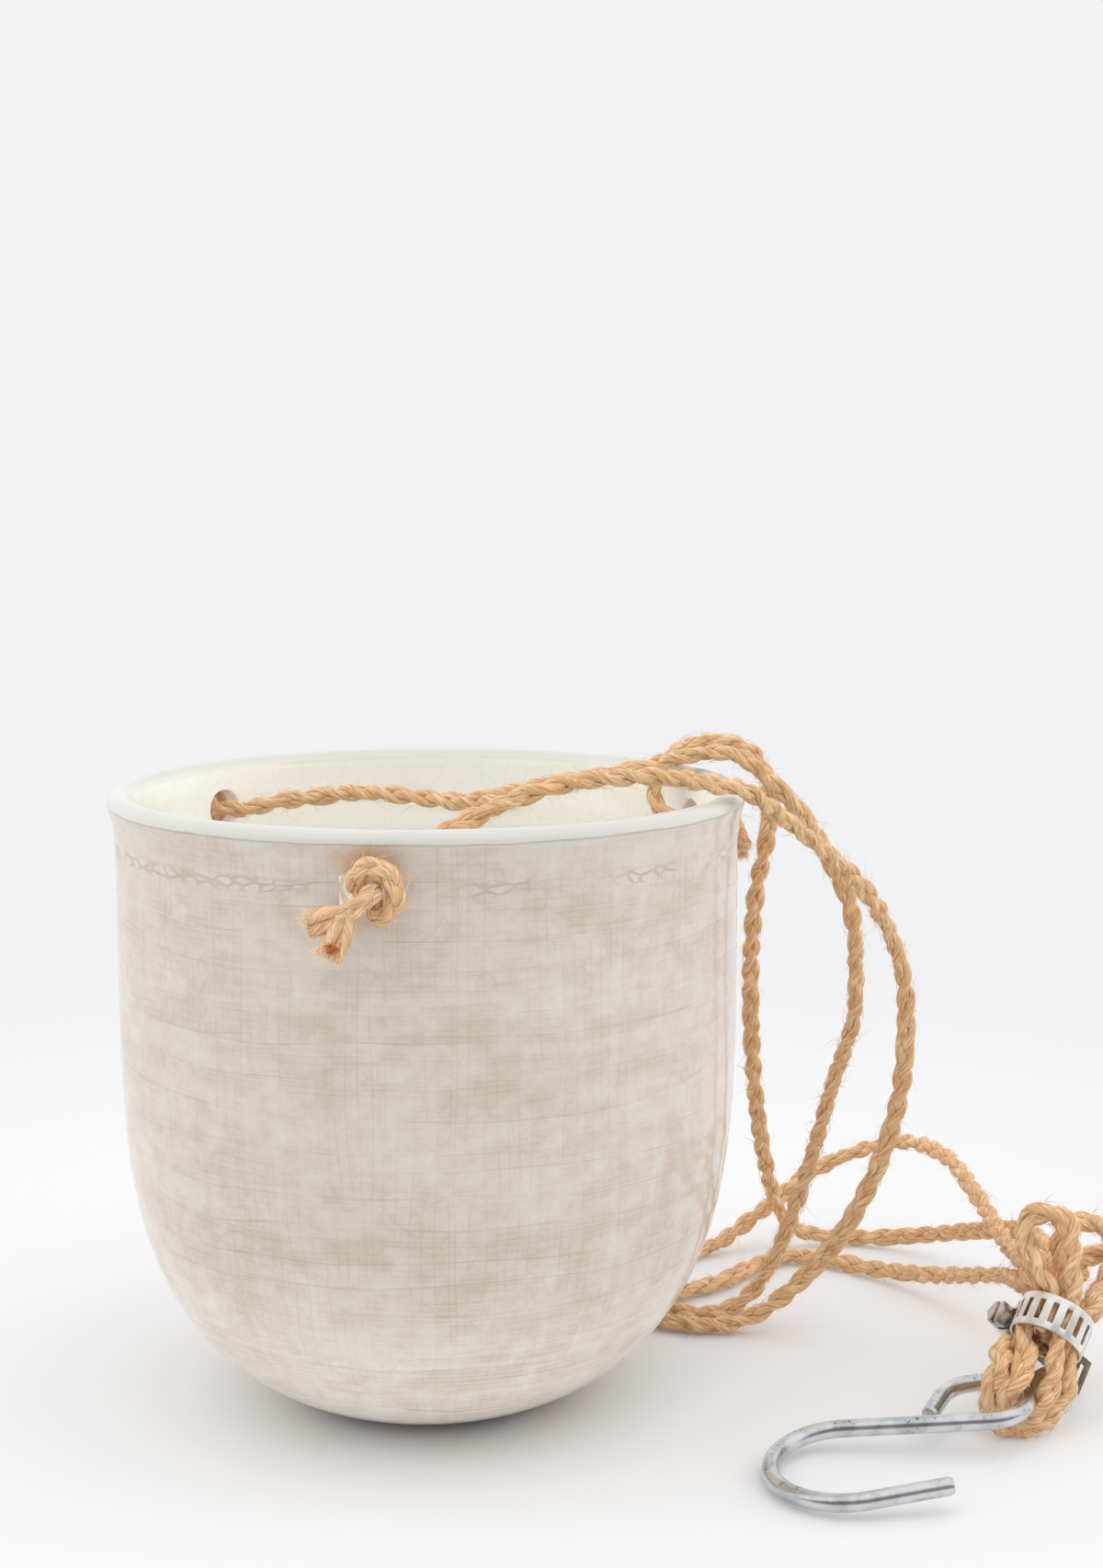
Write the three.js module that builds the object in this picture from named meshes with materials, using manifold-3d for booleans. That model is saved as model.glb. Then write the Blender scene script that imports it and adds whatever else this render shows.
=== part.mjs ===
import * as THREE from 'three';
import { mergeVertices } from 'three/addons/utils/BufferGeometryUtils.js';
import Module from 'manifold-3d';

// Hanging vase: a round-bottomed pot on three knotted jute ropes. The ropes are folded over the eye of
// a wire hook and pinched by a worm-drive clamp. Millimetres, +Z up, origin at the centre of the foot.

// Vase
const VASE_HEIGHT = 187.5;
const BODY_RADIUS = 92.9;
const SHOULDER_HEIGHT = 145;
const FOOT_RADIUS = 24;
const BOWL_DROP_POWER = 3.94;
const BOWL_SPREAD_POWER = 1.8;
const WALL = 5.2;
const FLOOR_THICKNESS = 7;
const INNER_FLOOR_RADIUS = 20;
const LIP_RADIUS = 95;
const LIP_WALL = 7;
const FLARE_DROP = 19;
const FLARE_POWER = 2.4;
const HOLE_RADIUS = 6.25;
const HOLE_DROP = 15.5;
const HOLE_ANGLES = { front: -97.5, left: 142.5, right: 22.5 };

// Ropes and their stopper knots
const ROPE_RADIUS = 3;
const KNOT_RADIUS = 7.2;
const TAIL_RADIUS = 5.5;
const KNOT_SHARE = 0.65;
const TOUCH_GAP = 0.3;
const MEETING_GAP = 0.5;

// Hank: where the strands are pinched, how far they are squeezed, and the folds at both ends
const CLAMP_CENTRE = new THREE.Vector3(186, -30, 28.2);
const BUNDLE_AXIS = new THREE.Vector3(0.47, 0.57, 0.67).normalize();
const STRAND_RADIUS = 2.8;
const WAIST_STRAND_RADIUS = 2.4;
const WAIST_GAP = 0.9;
const WAIST_PLACES = 8;
const WAIST_REACH = 6;
const HANK_END_DROP = 6;
const FOLD_DROP = 22.6;
const FOLD_SLACK = 0.8;
const FOLD_LEG = 1.5;
const FOLD_TWIST = 65;
const LOOP_START = -20;
const LOOP_END = 200;

// Worm-drive clamp
const BAND_SLACK = 0.5;
const BAND_WIDTH = 11;
const BAND_THICKNESS = 0.7;
const SLOT_LENGTH = 6.5;
const SLOT_WIDTH = 1.7;
const SLOT_PITCH_DEGREES = 22;
const BAND_SLOTS = 13;
const HOUSING_ANGLE = 257;
const HOUSING_LENGTH = 10;
const HOUSING_WALL = 1;
const STRAP_TAIL = 27.5;
const STRAP_INSET = 2;
const STRAP_SLOT_PITCH = 4;
const STRAP_END_MARGIN = 2.8;
const SCREW_RADIUS = 3.2;
const THREAD_DEPTH = 0.7;
const THREAD_PITCH = 1.6;
const HEAD_ACROSS_FLATS = 7;
const HEAD_LENGTH = 4;
const HEAD_SLOT_WIDTH = 1;
const HEAD_SLOT_DEPTH = 1.4;
const SCREW_TIP = 2;

// Hook
const WIRE_RADIUS = 2.5;
const EYE_RADIUS = 12.5;
const EYE_TAIL = 16;
const EYE_CONTACT_DEGREES = 16;
const SHANK_LENGTH = 40;
const BEND_RADIUS = 21.4;
const BEND_EXTRA_DEGREES = 15;
const LEG_LENGTH = 23.5;
const HOOK_YAW = -7;
const HOOK_TILT = 6.1;
const HOOK_ROLL = -2;

// Mesh fineness
const LATHE_SEGMENTS = 64;
const BOWL_STEPS = 14;
const FLARE_STEPS = 5;
const LIP_STEPS = 8;
const DRILL_SIDES = 20;
const ROPE_SIDES = 8;
const RUN_STEP = 13;
const KNOT_STEPS = 14;
const STRAND_SIDES = 6;
const STRAND_STEPS = 72;
const WIRE_SIDES = 10;
const ARC_STEPS = 14;
const FOLD_STEPS = 8;
const LOOP_STEPS = 8;
const CURVE_FINENESS = 40;
const BAND_SEGMENTS = 52;
const THREAD_RINGS_PER_TURN = 4;
const THREAD_SIDES = 16;

const wasm = await Module();
wasm.setup();

const radians = THREE.MathUtils.degToRad;

function toSolid(geometry) {
  const bare = geometry.clone();
  bare.deleteAttribute('normal');
  bare.deleteAttribute('uv');
  const merged = mergeVertices(bare, 1e-4);
  const index = merged.index.array;
  const triangles = [];
  for (let i = 0; i < index.length; i += 3) {
    const [a, b, c] = [index[i], index[i + 1], index[i + 2]];
    if (a !== b && b !== c && c !== a) {
      triangles.push(a, b, c);
    }
  }
  return new wasm.Manifold(new wasm.Mesh({
    numProp: 3,
    vertProperties: merged.attributes.position.array,
    triVerts: new Uint32Array(triangles),
  }));
}

function toGeometry(solid) {
  const mesh = solid.getMesh();
  const geometry = new THREE.BufferGeometry();
  geometry.setAttribute('position', new THREE.BufferAttribute(mesh.vertProperties, 3));
  geometry.setIndex(new THREE.BufferAttribute(mesh.triVerts, 1));
  geometry.computeVertexNormals();
  return geometry;
}

// A closed tube along a curve, with a radius that can change along it
function sweptTube(curve, steps, radiusAt, sides) {
  const positions = [];
  const index = [];
  const points = curve.getPoints(steps);
  let normal = null;
  points.forEach((point, i) => {
    const tangent = curve.getTangent(i / steps);
    const radius = radiusAt(point, i / steps);
    if (normal === null) {
      const helper = Math.abs(tangent.z) < 0.9 ? new THREE.Vector3(0, 0, 1) : new THREE.Vector3(1, 0, 0);
      normal = helper.cross(tangent);
    }
    normal.addScaledVector(tangent, -normal.dot(tangent)).normalize();
    const side = tangent.clone().cross(normal);
    for (let k = 0; k < sides; k += 1) {
      const angle = (2 * Math.PI * k) / sides;
      const rim = point.clone()
        .addScaledVector(normal, radius * Math.cos(angle))
        .addScaledVector(side, radius * Math.sin(angle));
      positions.push(rim.x, rim.y, rim.z);
    }
  });
  const rings = points.length;
  for (let i = 0; i + 1 < rings; i += 1) {
    for (let k = 0; k < sides; k += 1) {
      const a = i * sides + k;
      const b = i * sides + ((k + 1) % sides);
      index.push(a, b, a + sides, b, b + sides, a + sides);
    }
  }
  for (const [ring, point] of [[0, points[0]], [rings - 1, points[rings - 1]]]) {
    const centre = positions.length / 3;
    positions.push(point.x, point.y, point.z);
    for (let k = 0; k < sides; k += 1) {
      const a = ring * sides + k;
      const b = ring * sides + ((k + 1) % sides);
      index.push(...(ring === 0 ? [centre, b, a] : [centre, a, b]));
    }
  }
  const geometry = new THREE.BufferGeometry();
  geometry.setAttribute('position', new THREE.Float32BufferAttribute(positions, 3));
  geometry.setIndex(index);
  geometry.computeVertexNormals();
  return geometry;
}

// Vase
const lipCentreHeight = VASE_HEIGHT - LIP_WALL / 2;
const holeHeight = VASE_HEIGHT - HOLE_DROP;

function outerRadius(height) {
  const rise = THREE.MathUtils.clamp((height - (VASE_HEIGHT - FLARE_DROP)) / (FLARE_DROP - LIP_WALL / 2), 0, 1);
  return BODY_RADIUS + (LIP_RADIUS - BODY_RADIUS) * rise ** FLARE_POWER;
}

function bowlProfile(bottomRadius, bottomHeight, topRadius, steps) {
  const profile = [];
  for (let i = 0; i <= steps; i += 1) {
    const angle = (Math.PI / 2) * (i / steps);
    const spread = Math.sin(angle) ** (2 / BOWL_SPREAD_POWER);
    const drop = Math.max(Math.cos(angle), 0) ** (2 / BOWL_DROP_POWER);
    profile.push(new THREE.Vector2(
      bottomRadius + (topRadius - bottomRadius) * spread,
      SHOULDER_HEIGHT - (SHOULDER_HEIGHT - bottomHeight) * drop,
    ));
  }
  return profile;
}

function vaseGeometry() {
  const innerRadius = BODY_RADIUS - WALL;
  const lipMiddle = LIP_RADIUS - LIP_WALL / 2;
  const flareStart = VASE_HEIGHT - FLARE_DROP;
  const profile = [new THREE.Vector2(0, 0), ...bowlProfile(FOOT_RADIUS, 0, BODY_RADIUS, BOWL_STEPS)];
  for (let i = 0; i < FLARE_STEPS; i += 1) {
    const height = flareStart + (lipCentreHeight - flareStart) * (i / FLARE_STEPS);
    profile.push(new THREE.Vector2(outerRadius(height), height));
  }
  for (let i = 0; i <= LIP_STEPS; i += 1) {
    const angle = Math.PI * (i / LIP_STEPS);
    profile.push(new THREE.Vector2(
      lipMiddle + (LIP_WALL / 2) * Math.cos(angle),
      lipCentreHeight + (LIP_WALL / 2) * Math.sin(angle),
    ));
  }
  profile.push(new THREE.Vector2(innerRadius, flareStart));
  profile.push(...bowlProfile(INNER_FLOOR_RADIUS, FLOOR_THICKNESS, innerRadius, BOWL_STEPS).reverse());
  profile.push(new THREE.Vector2(0, FLOOR_THICKNESS));
  const lathe = new THREE.LatheGeometry(profile, LATHE_SEGMENTS);
  lathe.rotateX(Math.PI / 2);
  let solid = toSolid(lathe);
  for (const angle of Object.values(HOLE_ANGLES)) {
    const drill = new THREE.CylinderGeometry(HOLE_RADIUS, HOLE_RADIUS, 2 * LIP_WALL + 2 * WALL, DRILL_SIDES);
    drill.rotateZ(Math.PI / 2);
    drill.translate(outerRadius(holeHeight), 0, holeHeight);
    drill.rotateZ(radians(angle));
    solid = solid.subtract(toSolid(drill));
  }
  return toGeometry(solid);
}

// A point on the line through a hole, at a distance from the vase's outer wall
function atHole(name, outward) {
  const angle = radians(HOLE_ANGLES[name]);
  const reach = outerRadius(holeHeight) + outward;
  return new THREE.Vector3(reach * Math.cos(angle), reach * Math.sin(angle), holeHeight);
}

// Hank: the frame of the pinched bundle, with its front towards the viewer
const bundleFront = new THREE.Vector3(0, -1, 0);
bundleFront.addScaledVector(BUNDLE_AXIS, -bundleFront.dot(BUNDLE_AXIS)).normalize();
const bundleSide = BUNDLE_AXIS.clone().cross(bundleFront);
const waistRing = (2 * WAIST_STRAND_RADIUS + WAIST_GAP) / (2 * Math.sin(Math.PI / WAIST_PLACES));
const bandInner = waistRing + WAIST_STRAND_RADIUS + BAND_SLACK;
const bandOuter = bandInner + BAND_THICKNESS;

function inBundle(side, front, along) {
  return CLAMP_CENTRE.clone()
    .addScaledVector(bundleSide, side)
    .addScaledVector(bundleFront, front)
    .addScaledVector(BUNDLE_AXIS, along);
}

function waistPlace(place, along) {
  if (place === 'centre') {
    return inBundle(0, 0, along);
  }
  return inBundle(waistRing * Math.cos(radians(place)), waistRing * Math.sin(radians(place)), along);
}

// Hook frame: towards the bend, towards the leg, and square to both
const hookForward = new THREE.Vector3(
  -Math.cos(radians(HOOK_TILT)) * Math.cos(radians(HOOK_YAW)),
  -Math.cos(radians(HOOK_TILT)) * Math.sin(radians(HOOK_YAW)),
  -Math.sin(radians(HOOK_TILT)),
);
const hookAcross = new THREE.Vector3(0, -1, 0);
hookAcross.addScaledVector(hookForward, -hookAcross.dot(hookForward)).normalize();
hookAcross.applyAxisAngle(hookForward, radians(HOOK_ROLL));
const foldCentre = inBundle(0, 0, -FOLD_DROP);
const contact = radians(EYE_CONTACT_DEGREES);
const eyeCentre = foldCentre.clone()
  .addScaledVector(hookForward, EYE_RADIUS * Math.cos(contact))
  .addScaledVector(hookAcross, EYE_RADIUS * Math.sin(contact));
const wireAtFold = hookAcross.clone()
  .multiplyScalar(Math.cos(contact))
  .addScaledVector(hookForward, -Math.sin(contact));

function inHook(forward, across) {
  return eyeCentre.clone().addScaledVector(hookForward, forward).addScaledVector(hookAcross, across);
}

// Two ropes lie side by side on the eye wire and the third nests under them
const strandPitch = 2 * WAIST_STRAND_RADIUS + WAIST_GAP;
const foldUp = BUNDLE_AXIS.clone().addScaledVector(wireAtFold, -wireAtFold.dot(BUNDLE_AXIS)).normalize();
const foldSide = foldUp.clone().cross(wireAtFold);
const innerFold = WIRE_RADIUS + WAIST_STRAND_RADIUS + FOLD_SLACK;
const outerFold = innerFold + strandPitch * Math.cos(radians(30));

// Each rope's free run, as points from inside its hole to where its hank begins
const RUNS = {
  front: [
    [-4, -79, 174.5], [3, -75, 179.5], [11.8, -71.5, 185.2], [27.2, -66, 192], [42.2, -60, 195.6],
    [57.5, -53, 196.4], [73.3, -44, 194.6], [84, -36.5, 192], [93, -29, 189.2], [104.7, -18, 180],
    [120, -5, 167], [132.8, 6, 154], [142.3, 16, 139], [148.2, 22, 123], [150, 26, 107.5],
    [149.4, 29, 85.8], [145.6, 31, 66.9], [138.7, 32.5, 48], [130.2, 34, 32.3], [118.5, 35, 18],
    [106, 35.5, 7.5], [96, 35.3, 3.6], [86, 35.3, 3.3], [76, 38, 3.3], [67.5, 45.5, 3.3],
    [63, 57, 3.3], [63.5, 71, 3.3], [69, 86, 3.3], [80, 99.5, 3.3], [96, 110, 3.8],
    [114.9, 122, 13], [132.9, 132, 23.5], [150, 133, 31.5], [166.7, 121, 39], [177, 96, 41],
    [181.2, 66, 38], [183, 36, 35.5], [183.2, 12, 36.2], [182.3, -2, 39], [181.7, -12, 41.3],
    [181.5, -19.5, 41.5],
  ],
  left: [
    [-60, 49.5, 172.8], [-52.4, 49, 174.8], [-34.2, 47.5, 177.2], [-22.1, 46, 178.4], [-4.2, 44, 176.8],
    [10.6, 42, 175.8], [19.5, 41, 177.6], [37.2, 38, 182.1], [54.7, 36, 185.2], [70, 34, 189],
    [82, 32, 192.2], [92, 30.5, 193.2], [99, 30, 190.5], [106, 30, 184.5], [115.7, 31, 174],
    [126.4, 33, 157], [132.8, 35, 143], [135.4, 38, 120], [135.2, 40.5, 104.5], [129.3, 44, 81.9],
    [123.9, 47, 59], [117.1, 49.5, 35.5], [112, 50, 21.5], [105, 48.5, 10.5], [96, 45, 4.6],
    [87, 43.5, 3.3], [79, 46.5, 3.3], [75, 53.5, 3.3], [77.5, 61.5, 3.3], [85, 67, 3.3],
    [96, 75, 3.3], [108, 89, 3.3], [121, 100, 3.3], [135, 97, 3.3], [150, 86, 3.8],
    [163.5, 69, 8], [174.3, 45, 16.5], [180, 25, 24], [181.8, 12, 28.5], [181.3, 2, 31.5],
    [181.3, -8, 34], [182.2, -16, 35.2],
  ],
  right: [
    [72.3, 32.5, 173.6], [70, 35.5, 179], [71.5, 40, 185.8], [77, 45, 191.3], [85.5, 49.5, 194.3],
    [95, 53, 193.8], [103, 56, 189.5], [107.8, 59, 181], [108.9, 61, 172], [108.5, 63, 160],
    [105.8, 67, 143], [104.9, 75, 115], [107, 86, 79], [110.6, 97, 52.4], [114.8, 105.5, 32],
    [119.5, 112, 17], [127, 117, 7.5], [139, 120, 3.5], [155, 118, 3.7], [170.4, 108.5, 8],
    [182.7, 88, 16.5], [189.6, 60, 27], [191.2, 36, 35], [191.6, 16, 40], [191.2, 2, 40],
    [190, -9, 36.5],
  ],
};

// Each rope's places at the waist, its fold round the eye wire, and its loop above the clamp
const HANKS = {
  front: {
    enter: 180, leave: 90, end: 135, foldRadius: innerFold, foldAlong: strandPitch / 2,
    loopCentre: [184.5, -26, 55], loopRadius: 7, loopRise: [-0.1, 0.25, 0.96], loopAcross: [0.9, -0.3, 0.2],
  },
  left: {
    enter: 225, leave: 45, end: 'centre', foldRadius: outerFold, foldAlong: 0,
    loopCentre: [199.5, -16, 47], loopRadius: 8.5, loopRise: [0.1, 0.35, 0.93], loopAcross: [0.97, -0.1, -0.1],
  },
  right: {
    enter: 270, leave: 0, end: 315, foldRadius: innerFold, foldAlong: -strandPitch / 2,
    loopCentre: [207, -6, 37], loopRadius: 8, loopRise: [0.45, 0.75, 0.48], loopAcross: [0.75, -0.5, 0.1],
  },
};

function strandRadius(point) {
  const above = point.clone().sub(CLAMP_CENTRE).dot(BUNDLE_AXIS);
  const opening = THREE.MathUtils.smoothstep(above, WAIST_REACH, 2 * WAIST_REACH);
  return WAIST_STRAND_RADIUS + (STRAND_RADIUS - WAIST_STRAND_RADIUS) * opening;
}

function foldPoints(hank) {
  const turn = Math.PI + contact - hank.foldAlong / EYE_RADIUS;
  const centre = inHook(EYE_RADIUS * Math.cos(turn), EYE_RADIUS * Math.sin(turn));
  const points = [];
  for (let i = 0; i <= FOLD_STEPS; i += 1) {
    const angle = Math.PI * (1 + i / FOLD_STEPS);
    points.push(centre.clone()
      .addScaledVector(foldSide, hank.foldRadius * Math.cos(angle))
      .addScaledVector(foldUp, hank.foldRadius * Math.sin(angle)));
  }
  points.unshift(points[0].clone().addScaledVector(foldUp, FOLD_LEG));
  points.push(points[points.length - 1].clone().addScaledVector(foldUp, FOLD_LEG));
  return points;
}

function loopPoints(hank) {
  const centre = new THREE.Vector3(...hank.loopCentre);
  const rise = new THREE.Vector3(...hank.loopRise).normalize();
  const across = new THREE.Vector3(...hank.loopAcross);
  across.addScaledVector(rise, -across.dot(rise)).normalize();
  const points = [];
  for (let i = 0; i <= LOOP_STEPS; i += 1) {
    const angle = radians(LOOP_START + (LOOP_END - LOOP_START) * (i / LOOP_STEPS));
    points.push(centre.clone()
      .addScaledVector(across, hank.loopRadius * Math.cos(angle))
      .addScaledVector(rise, hank.loopRadius * Math.sin(angle)));
  }
  return points;
}

// Half way from the waist to the fold, the strands have turned by half of the bundle's twist
function twistPlace(place, hank) {
  const angle = radians(place - FOLD_TWIST / 2);
  const ring = Math.hypot(hank.foldRadius, hank.foldAlong);
  return inBundle(ring * Math.cos(angle), ring * Math.sin(angle), -(WAIST_REACH + FOLD_DROP) / 2);
}

function hankPoints(hank) {
  return [
    waistPlace(hank.enter, WAIST_REACH),
    waistPlace(hank.enter, 0),
    waistPlace(hank.enter, -WAIST_REACH),
    twistPlace(hank.enter, hank),
    ...foldPoints(hank),
    twistPlace(hank.leave, hank),
    waistPlace(hank.leave, -WAIST_REACH),
    waistPlace(hank.leave, 0),
    waistPlace(hank.leave, WAIST_REACH),
    ...loopPoints(hank),
    waistPlace(hank.end, WAIST_REACH),
    waistPlace(hank.end, 0),
    waistPlace(hank.end, -HANK_END_DROP),
  ];
}

// A stretch of a longer curve, between two lengths along it
class Stretch extends THREE.Curve {
  constructor(whole, from, to) {
    super();
    this.whole = whole;
    this.from = from / whole.getLength();
    this.to = to / whole.getLength();
  }

  getPoint(share, target = new THREE.Vector3()) {
    return this.whole.getPointAt(this.from + (this.to - this.from) * share, target);
  }
}

// A rope as one curve from its hole to its cut end, and its two stretches
function ropeStretches(name) {
  const runPoints = [
    atHole(name, -TOUCH_GAP),
    atHole(name, -ROPE_RADIUS),
    atHole(name, -LIP_WALL),
    ...RUNS[name].map((point) => new THREE.Vector3(...point)),
  ];
  const points = [...runPoints, ...hankPoints(HANKS[name])];
  const whole = new THREE.CatmullRomCurve3(points);
  whole.arcLengthDivisions = CURVE_FINENESS * (points.length - 1);
  const meeting = whole.getLengths()[CURVE_FINENESS * (runPoints.length - 1)];
  return {
    run: new Stretch(whole, 0, meeting - MEETING_GAP / 2),
    hank: new Stretch(whole, meeting + MEETING_GAP / 2, whole.getLength()),
    length: whole.getLength(),
  };
}

// The least gap of a strand to itself, measured between points that are further apart along it than near
function leastGap(points, radii) {
  const near = 3 * STRAND_RADIUS;
  const travelled = [0];
  for (let i = 1; i < points.length; i += 1) {
    travelled.push(travelled[i - 1] + points[i].distanceTo(points[i - 1]));
  }
  let least = Infinity;
  for (let i = 0; i < points.length; i += 1) {
    for (let j = i + 1; j < points.length; j += 1) {
      if (travelled[j] - travelled[i] > near) {
        least = Math.min(least, points[i].distanceTo(points[j]) - radii[i] - radii[j]);
      }
    }
  }
  return least;
}

function hankGeometry(name) {
  const { hank, length } = ropeStretches(name);
  const fine = hank.getPoints(CURVE_FINENESS * FOLD_STEPS);
  const gap = leastGap(fine, fine.map(strandRadius));
  console.log(`${name} rope: ${length.toFixed(0)} mm long, least gap of its hank to itself ${gap.toFixed(2)} mm`);
  return sweptTube(hank, STRAND_STEPS, strandRadius, STRAND_SIDES);
}

function runGeometry(name) {
  const { run } = ropeStretches(name);
  const section = new THREE.Shape();
  for (let k = 0; k < ROPE_SIDES; k += 1) {
    const angle = (2 * Math.PI * k) / ROPE_SIDES;
    const corner = [ROPE_RADIUS * Math.cos(angle), ROPE_RADIUS * Math.sin(angle)];
    if (k === 0) {
      section.moveTo(...corner);
    } else {
      section.lineTo(...corner);
    }
  }
  const steps = Math.round(run.getLength() / RUN_STEP);
  return new THREE.ExtrudeGeometry(section, { steps, extrudePath: run });
}

// Stopper knots: a lump outside each hole, then a frayed tail
const TAILS = {
  front: [[1.5, 1.5, -5], [-4, 4.5, -10], [-9, 6, -14]],
  left: [[2, 1.5, -4], [6, 3, -8], [9, 4, -13]],
  right: [[-1, 1.5, -3], [-2, 4, -7], [-3, 6, -11]],
};

function knotGeometry(name) {
  const angle = radians(HOLE_ANGLES[name]);
  const outward = new THREE.Vector3(Math.cos(angle), Math.sin(angle), 0);
  const sideways = new THREE.Vector3(-Math.sin(angle), Math.cos(angle), 0);
  const lump = atHole(name, KNOT_RADIUS + 3 * TOUCH_GAP);
  const curve = new THREE.CatmullRomCurve3([
    atHole(name, 0),
    atHole(name, ROPE_RADIUS),
    lump,
    ...TAILS[name].map(([along, out, up]) => lump.clone()
      .addScaledVector(sideways, along)
      .addScaledVector(outward, out)
      .add(new THREE.Vector3(0, 0, up))),
  ]);
  const knotRadius = (point, share) => {
    const lumpShare = Math.sin(Math.PI * Math.min(share / KNOT_SHARE, 1));
    const fray = THREE.MathUtils.smoothstep(share, KNOT_SHARE, 1);
    return ROPE_RADIUS + (KNOT_RADIUS - ROPE_RADIUS) * lumpShare + (TAIL_RADIUS - ROPE_RADIUS) * fray;
  };
  return sweptTube(curve, KNOT_STEPS, knotRadius, ROPE_SIDES);
}

// Clamp, built with its band's axis along Z and its housing towards -Y, then set on the bundle
function slotCutter(length) {
  return new THREE.BoxGeometry(SLOT_WIDTH, length, SLOT_LENGTH);
}

function bandGeometry() {
  const half = BAND_WIDTH / 2;
  const profile = [[bandInner, -half], [bandOuter, -half], [bandOuter, half], [bandInner, half], [bandInner, -half]];
  const ring = new THREE.LatheGeometry(profile.map((point) => new THREE.Vector2(...point)), BAND_SEGMENTS);
  ring.rotateX(Math.PI / 2);
  let solid = toSolid(ring);
  for (let i = 0; i < BAND_SLOTS; i += 1) {
    const cutter = slotCutter(4 * BAND_THICKNESS);
    cutter.translate(0, (bandInner + bandOuter) / 2, 0);
    cutter.rotateZ(radians(SLOT_PITCH_DEGREES) * (i - (BAND_SLOTS - 1) / 2));
    solid = solid.subtract(toSolid(cutter));
  }
  return toGeometry(solid);
}

const strapBottom = bandOuter + TOUCH_GAP;
const strapTop = strapBottom + BAND_THICKNESS;
const screwHeight = strapTop + TOUCH_GAP + SCREW_RADIUS;

function strapGeometry() {
  const length = STRAP_TAIL + HOUSING_LENGTH / 2 - STRAP_INSET;
  const strap = new THREE.BoxGeometry(length, BAND_THICKNESS, BAND_WIDTH);
  strap.translate(STRAP_TAIL - length / 2, 0, 0);
  let solid = toSolid(strap);
  const slots = Math.floor((length - STRAP_SLOT_PITCH) / STRAP_SLOT_PITCH);
  for (let i = 0; i < slots; i += 1) {
    const cutter = slotCutter(4 * BAND_THICKNESS);
    cutter.translate(STRAP_TAIL - STRAP_END_MARGIN - STRAP_SLOT_PITCH * i, 0, 0);
    solid = solid.subtract(toSolid(cutter));
  }
  return toGeometry(solid);
}

function housingGeometry() {
  const inner = BAND_WIDTH / 2 + TOUCH_GAP;
  const outer = inner + HOUSING_WALL;
  const foot = bandOuter + TOUCH_GAP;
  const bore = SCREW_RADIUS + TOUCH_GAP;
  const saddle = new THREE.Shape();
  const step = strapTop + TOUCH_GAP;
  saddle.moveTo(-outer, foot);
  saddle.lineTo(-inner, foot);
  saddle.lineTo(-inner, step);
  saddle.lineTo(-bore, step);
  saddle.lineTo(-bore, screwHeight);
  saddle.absarc(0, screwHeight, bore, Math.PI, 0, true);
  saddle.lineTo(bore, step);
  saddle.lineTo(inner, step);
  saddle.lineTo(inner, foot);
  saddle.lineTo(outer, foot);
  saddle.lineTo(outer, step + HOUSING_WALL);
  saddle.lineTo(bore + HOUSING_WALL, step + HOUSING_WALL);
  saddle.lineTo(bore + HOUSING_WALL, screwHeight);
  saddle.absarc(0, screwHeight, bore + HOUSING_WALL, 0, Math.PI, false);
  saddle.lineTo(-bore - HOUSING_WALL, step + HOUSING_WALL);
  saddle.lineTo(-outer, step + HOUSING_WALL);
  const geometry = new THREE.ExtrudeGeometry(saddle, {
    depth: HOUSING_LENGTH, bevelEnabled: false, curveSegments: 16,
  });
  geometry.translate(0, 0, -HOUSING_LENGTH / 2);
  geometry.rotateY(Math.PI / 2);
  geometry.rotateX(Math.PI);
  return geometry;
}

function screwGeometry() {
  const shankEnd = HOUSING_LENGTH / 2 + SCREW_TIP;
  const headFace = HOUSING_LENGTH / 2 + TOUCH_GAP;
  const inHead = headFace + HEAD_LENGTH / 2;
  const length = inHead + shankEnd;
  const rings = Math.round((length / THREAD_PITCH) * THREAD_RINGS_PER_TURN);
  const positions = [];
  const index = [];
  for (let i = 0; i <= rings; i += 1) {
    for (let k = 0; k < THREAD_SIDES; k += 1) {
      const turn = i / THREAD_RINGS_PER_TURN - k / THREAD_SIDES;
      const crest = Math.abs(2 * (turn - Math.floor(turn)) - 1);
      const radius = SCREW_RADIUS - THREAD_DEPTH * crest;
      const angle = (2 * Math.PI * k) / THREAD_SIDES;
      positions.push((length * i) / rings - inHead, radius * Math.cos(angle), radius * Math.sin(angle));
    }
  }
  for (let i = 0; i < rings; i += 1) {
    for (let k = 0; k < THREAD_SIDES; k += 1) {
      const a = i * THREAD_SIDES + k;
      const b = i * THREAD_SIDES + ((k + 1) % THREAD_SIDES);
      index.push(a, b, a + THREAD_SIDES, b, b + THREAD_SIDES, a + THREAD_SIDES);
    }
  }
  for (let k = 1; k + 1 < THREAD_SIDES; k += 1) {
    const last = rings * THREAD_SIDES;
    index.push(0, k + 1, k, last, last + k, last + k + 1);
  }
  const thread = new THREE.BufferGeometry();
  thread.setAttribute('position', new THREE.Float32BufferAttribute(positions, 3));
  thread.setIndex(index);
  const head = new THREE.CylinderGeometry(
    HEAD_ACROSS_FLATS / Math.sqrt(3), HEAD_ACROSS_FLATS / Math.sqrt(3), HEAD_LENGTH, 6,
  );
  head.rotateZ(Math.PI / 2);
  head.translate(-headFace - HEAD_LENGTH / 2, 0, 0);
  const slot = new THREE.BoxGeometry(2 * HEAD_SLOT_DEPTH, HEAD_SLOT_WIDTH, 2 * HEAD_ACROSS_FLATS);
  slot.translate(-headFace - HEAD_LENGTH, 0, 0);
  return toGeometry(toSolid(thread).add(toSolid(head)).subtract(toSolid(slot)));
}

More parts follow.
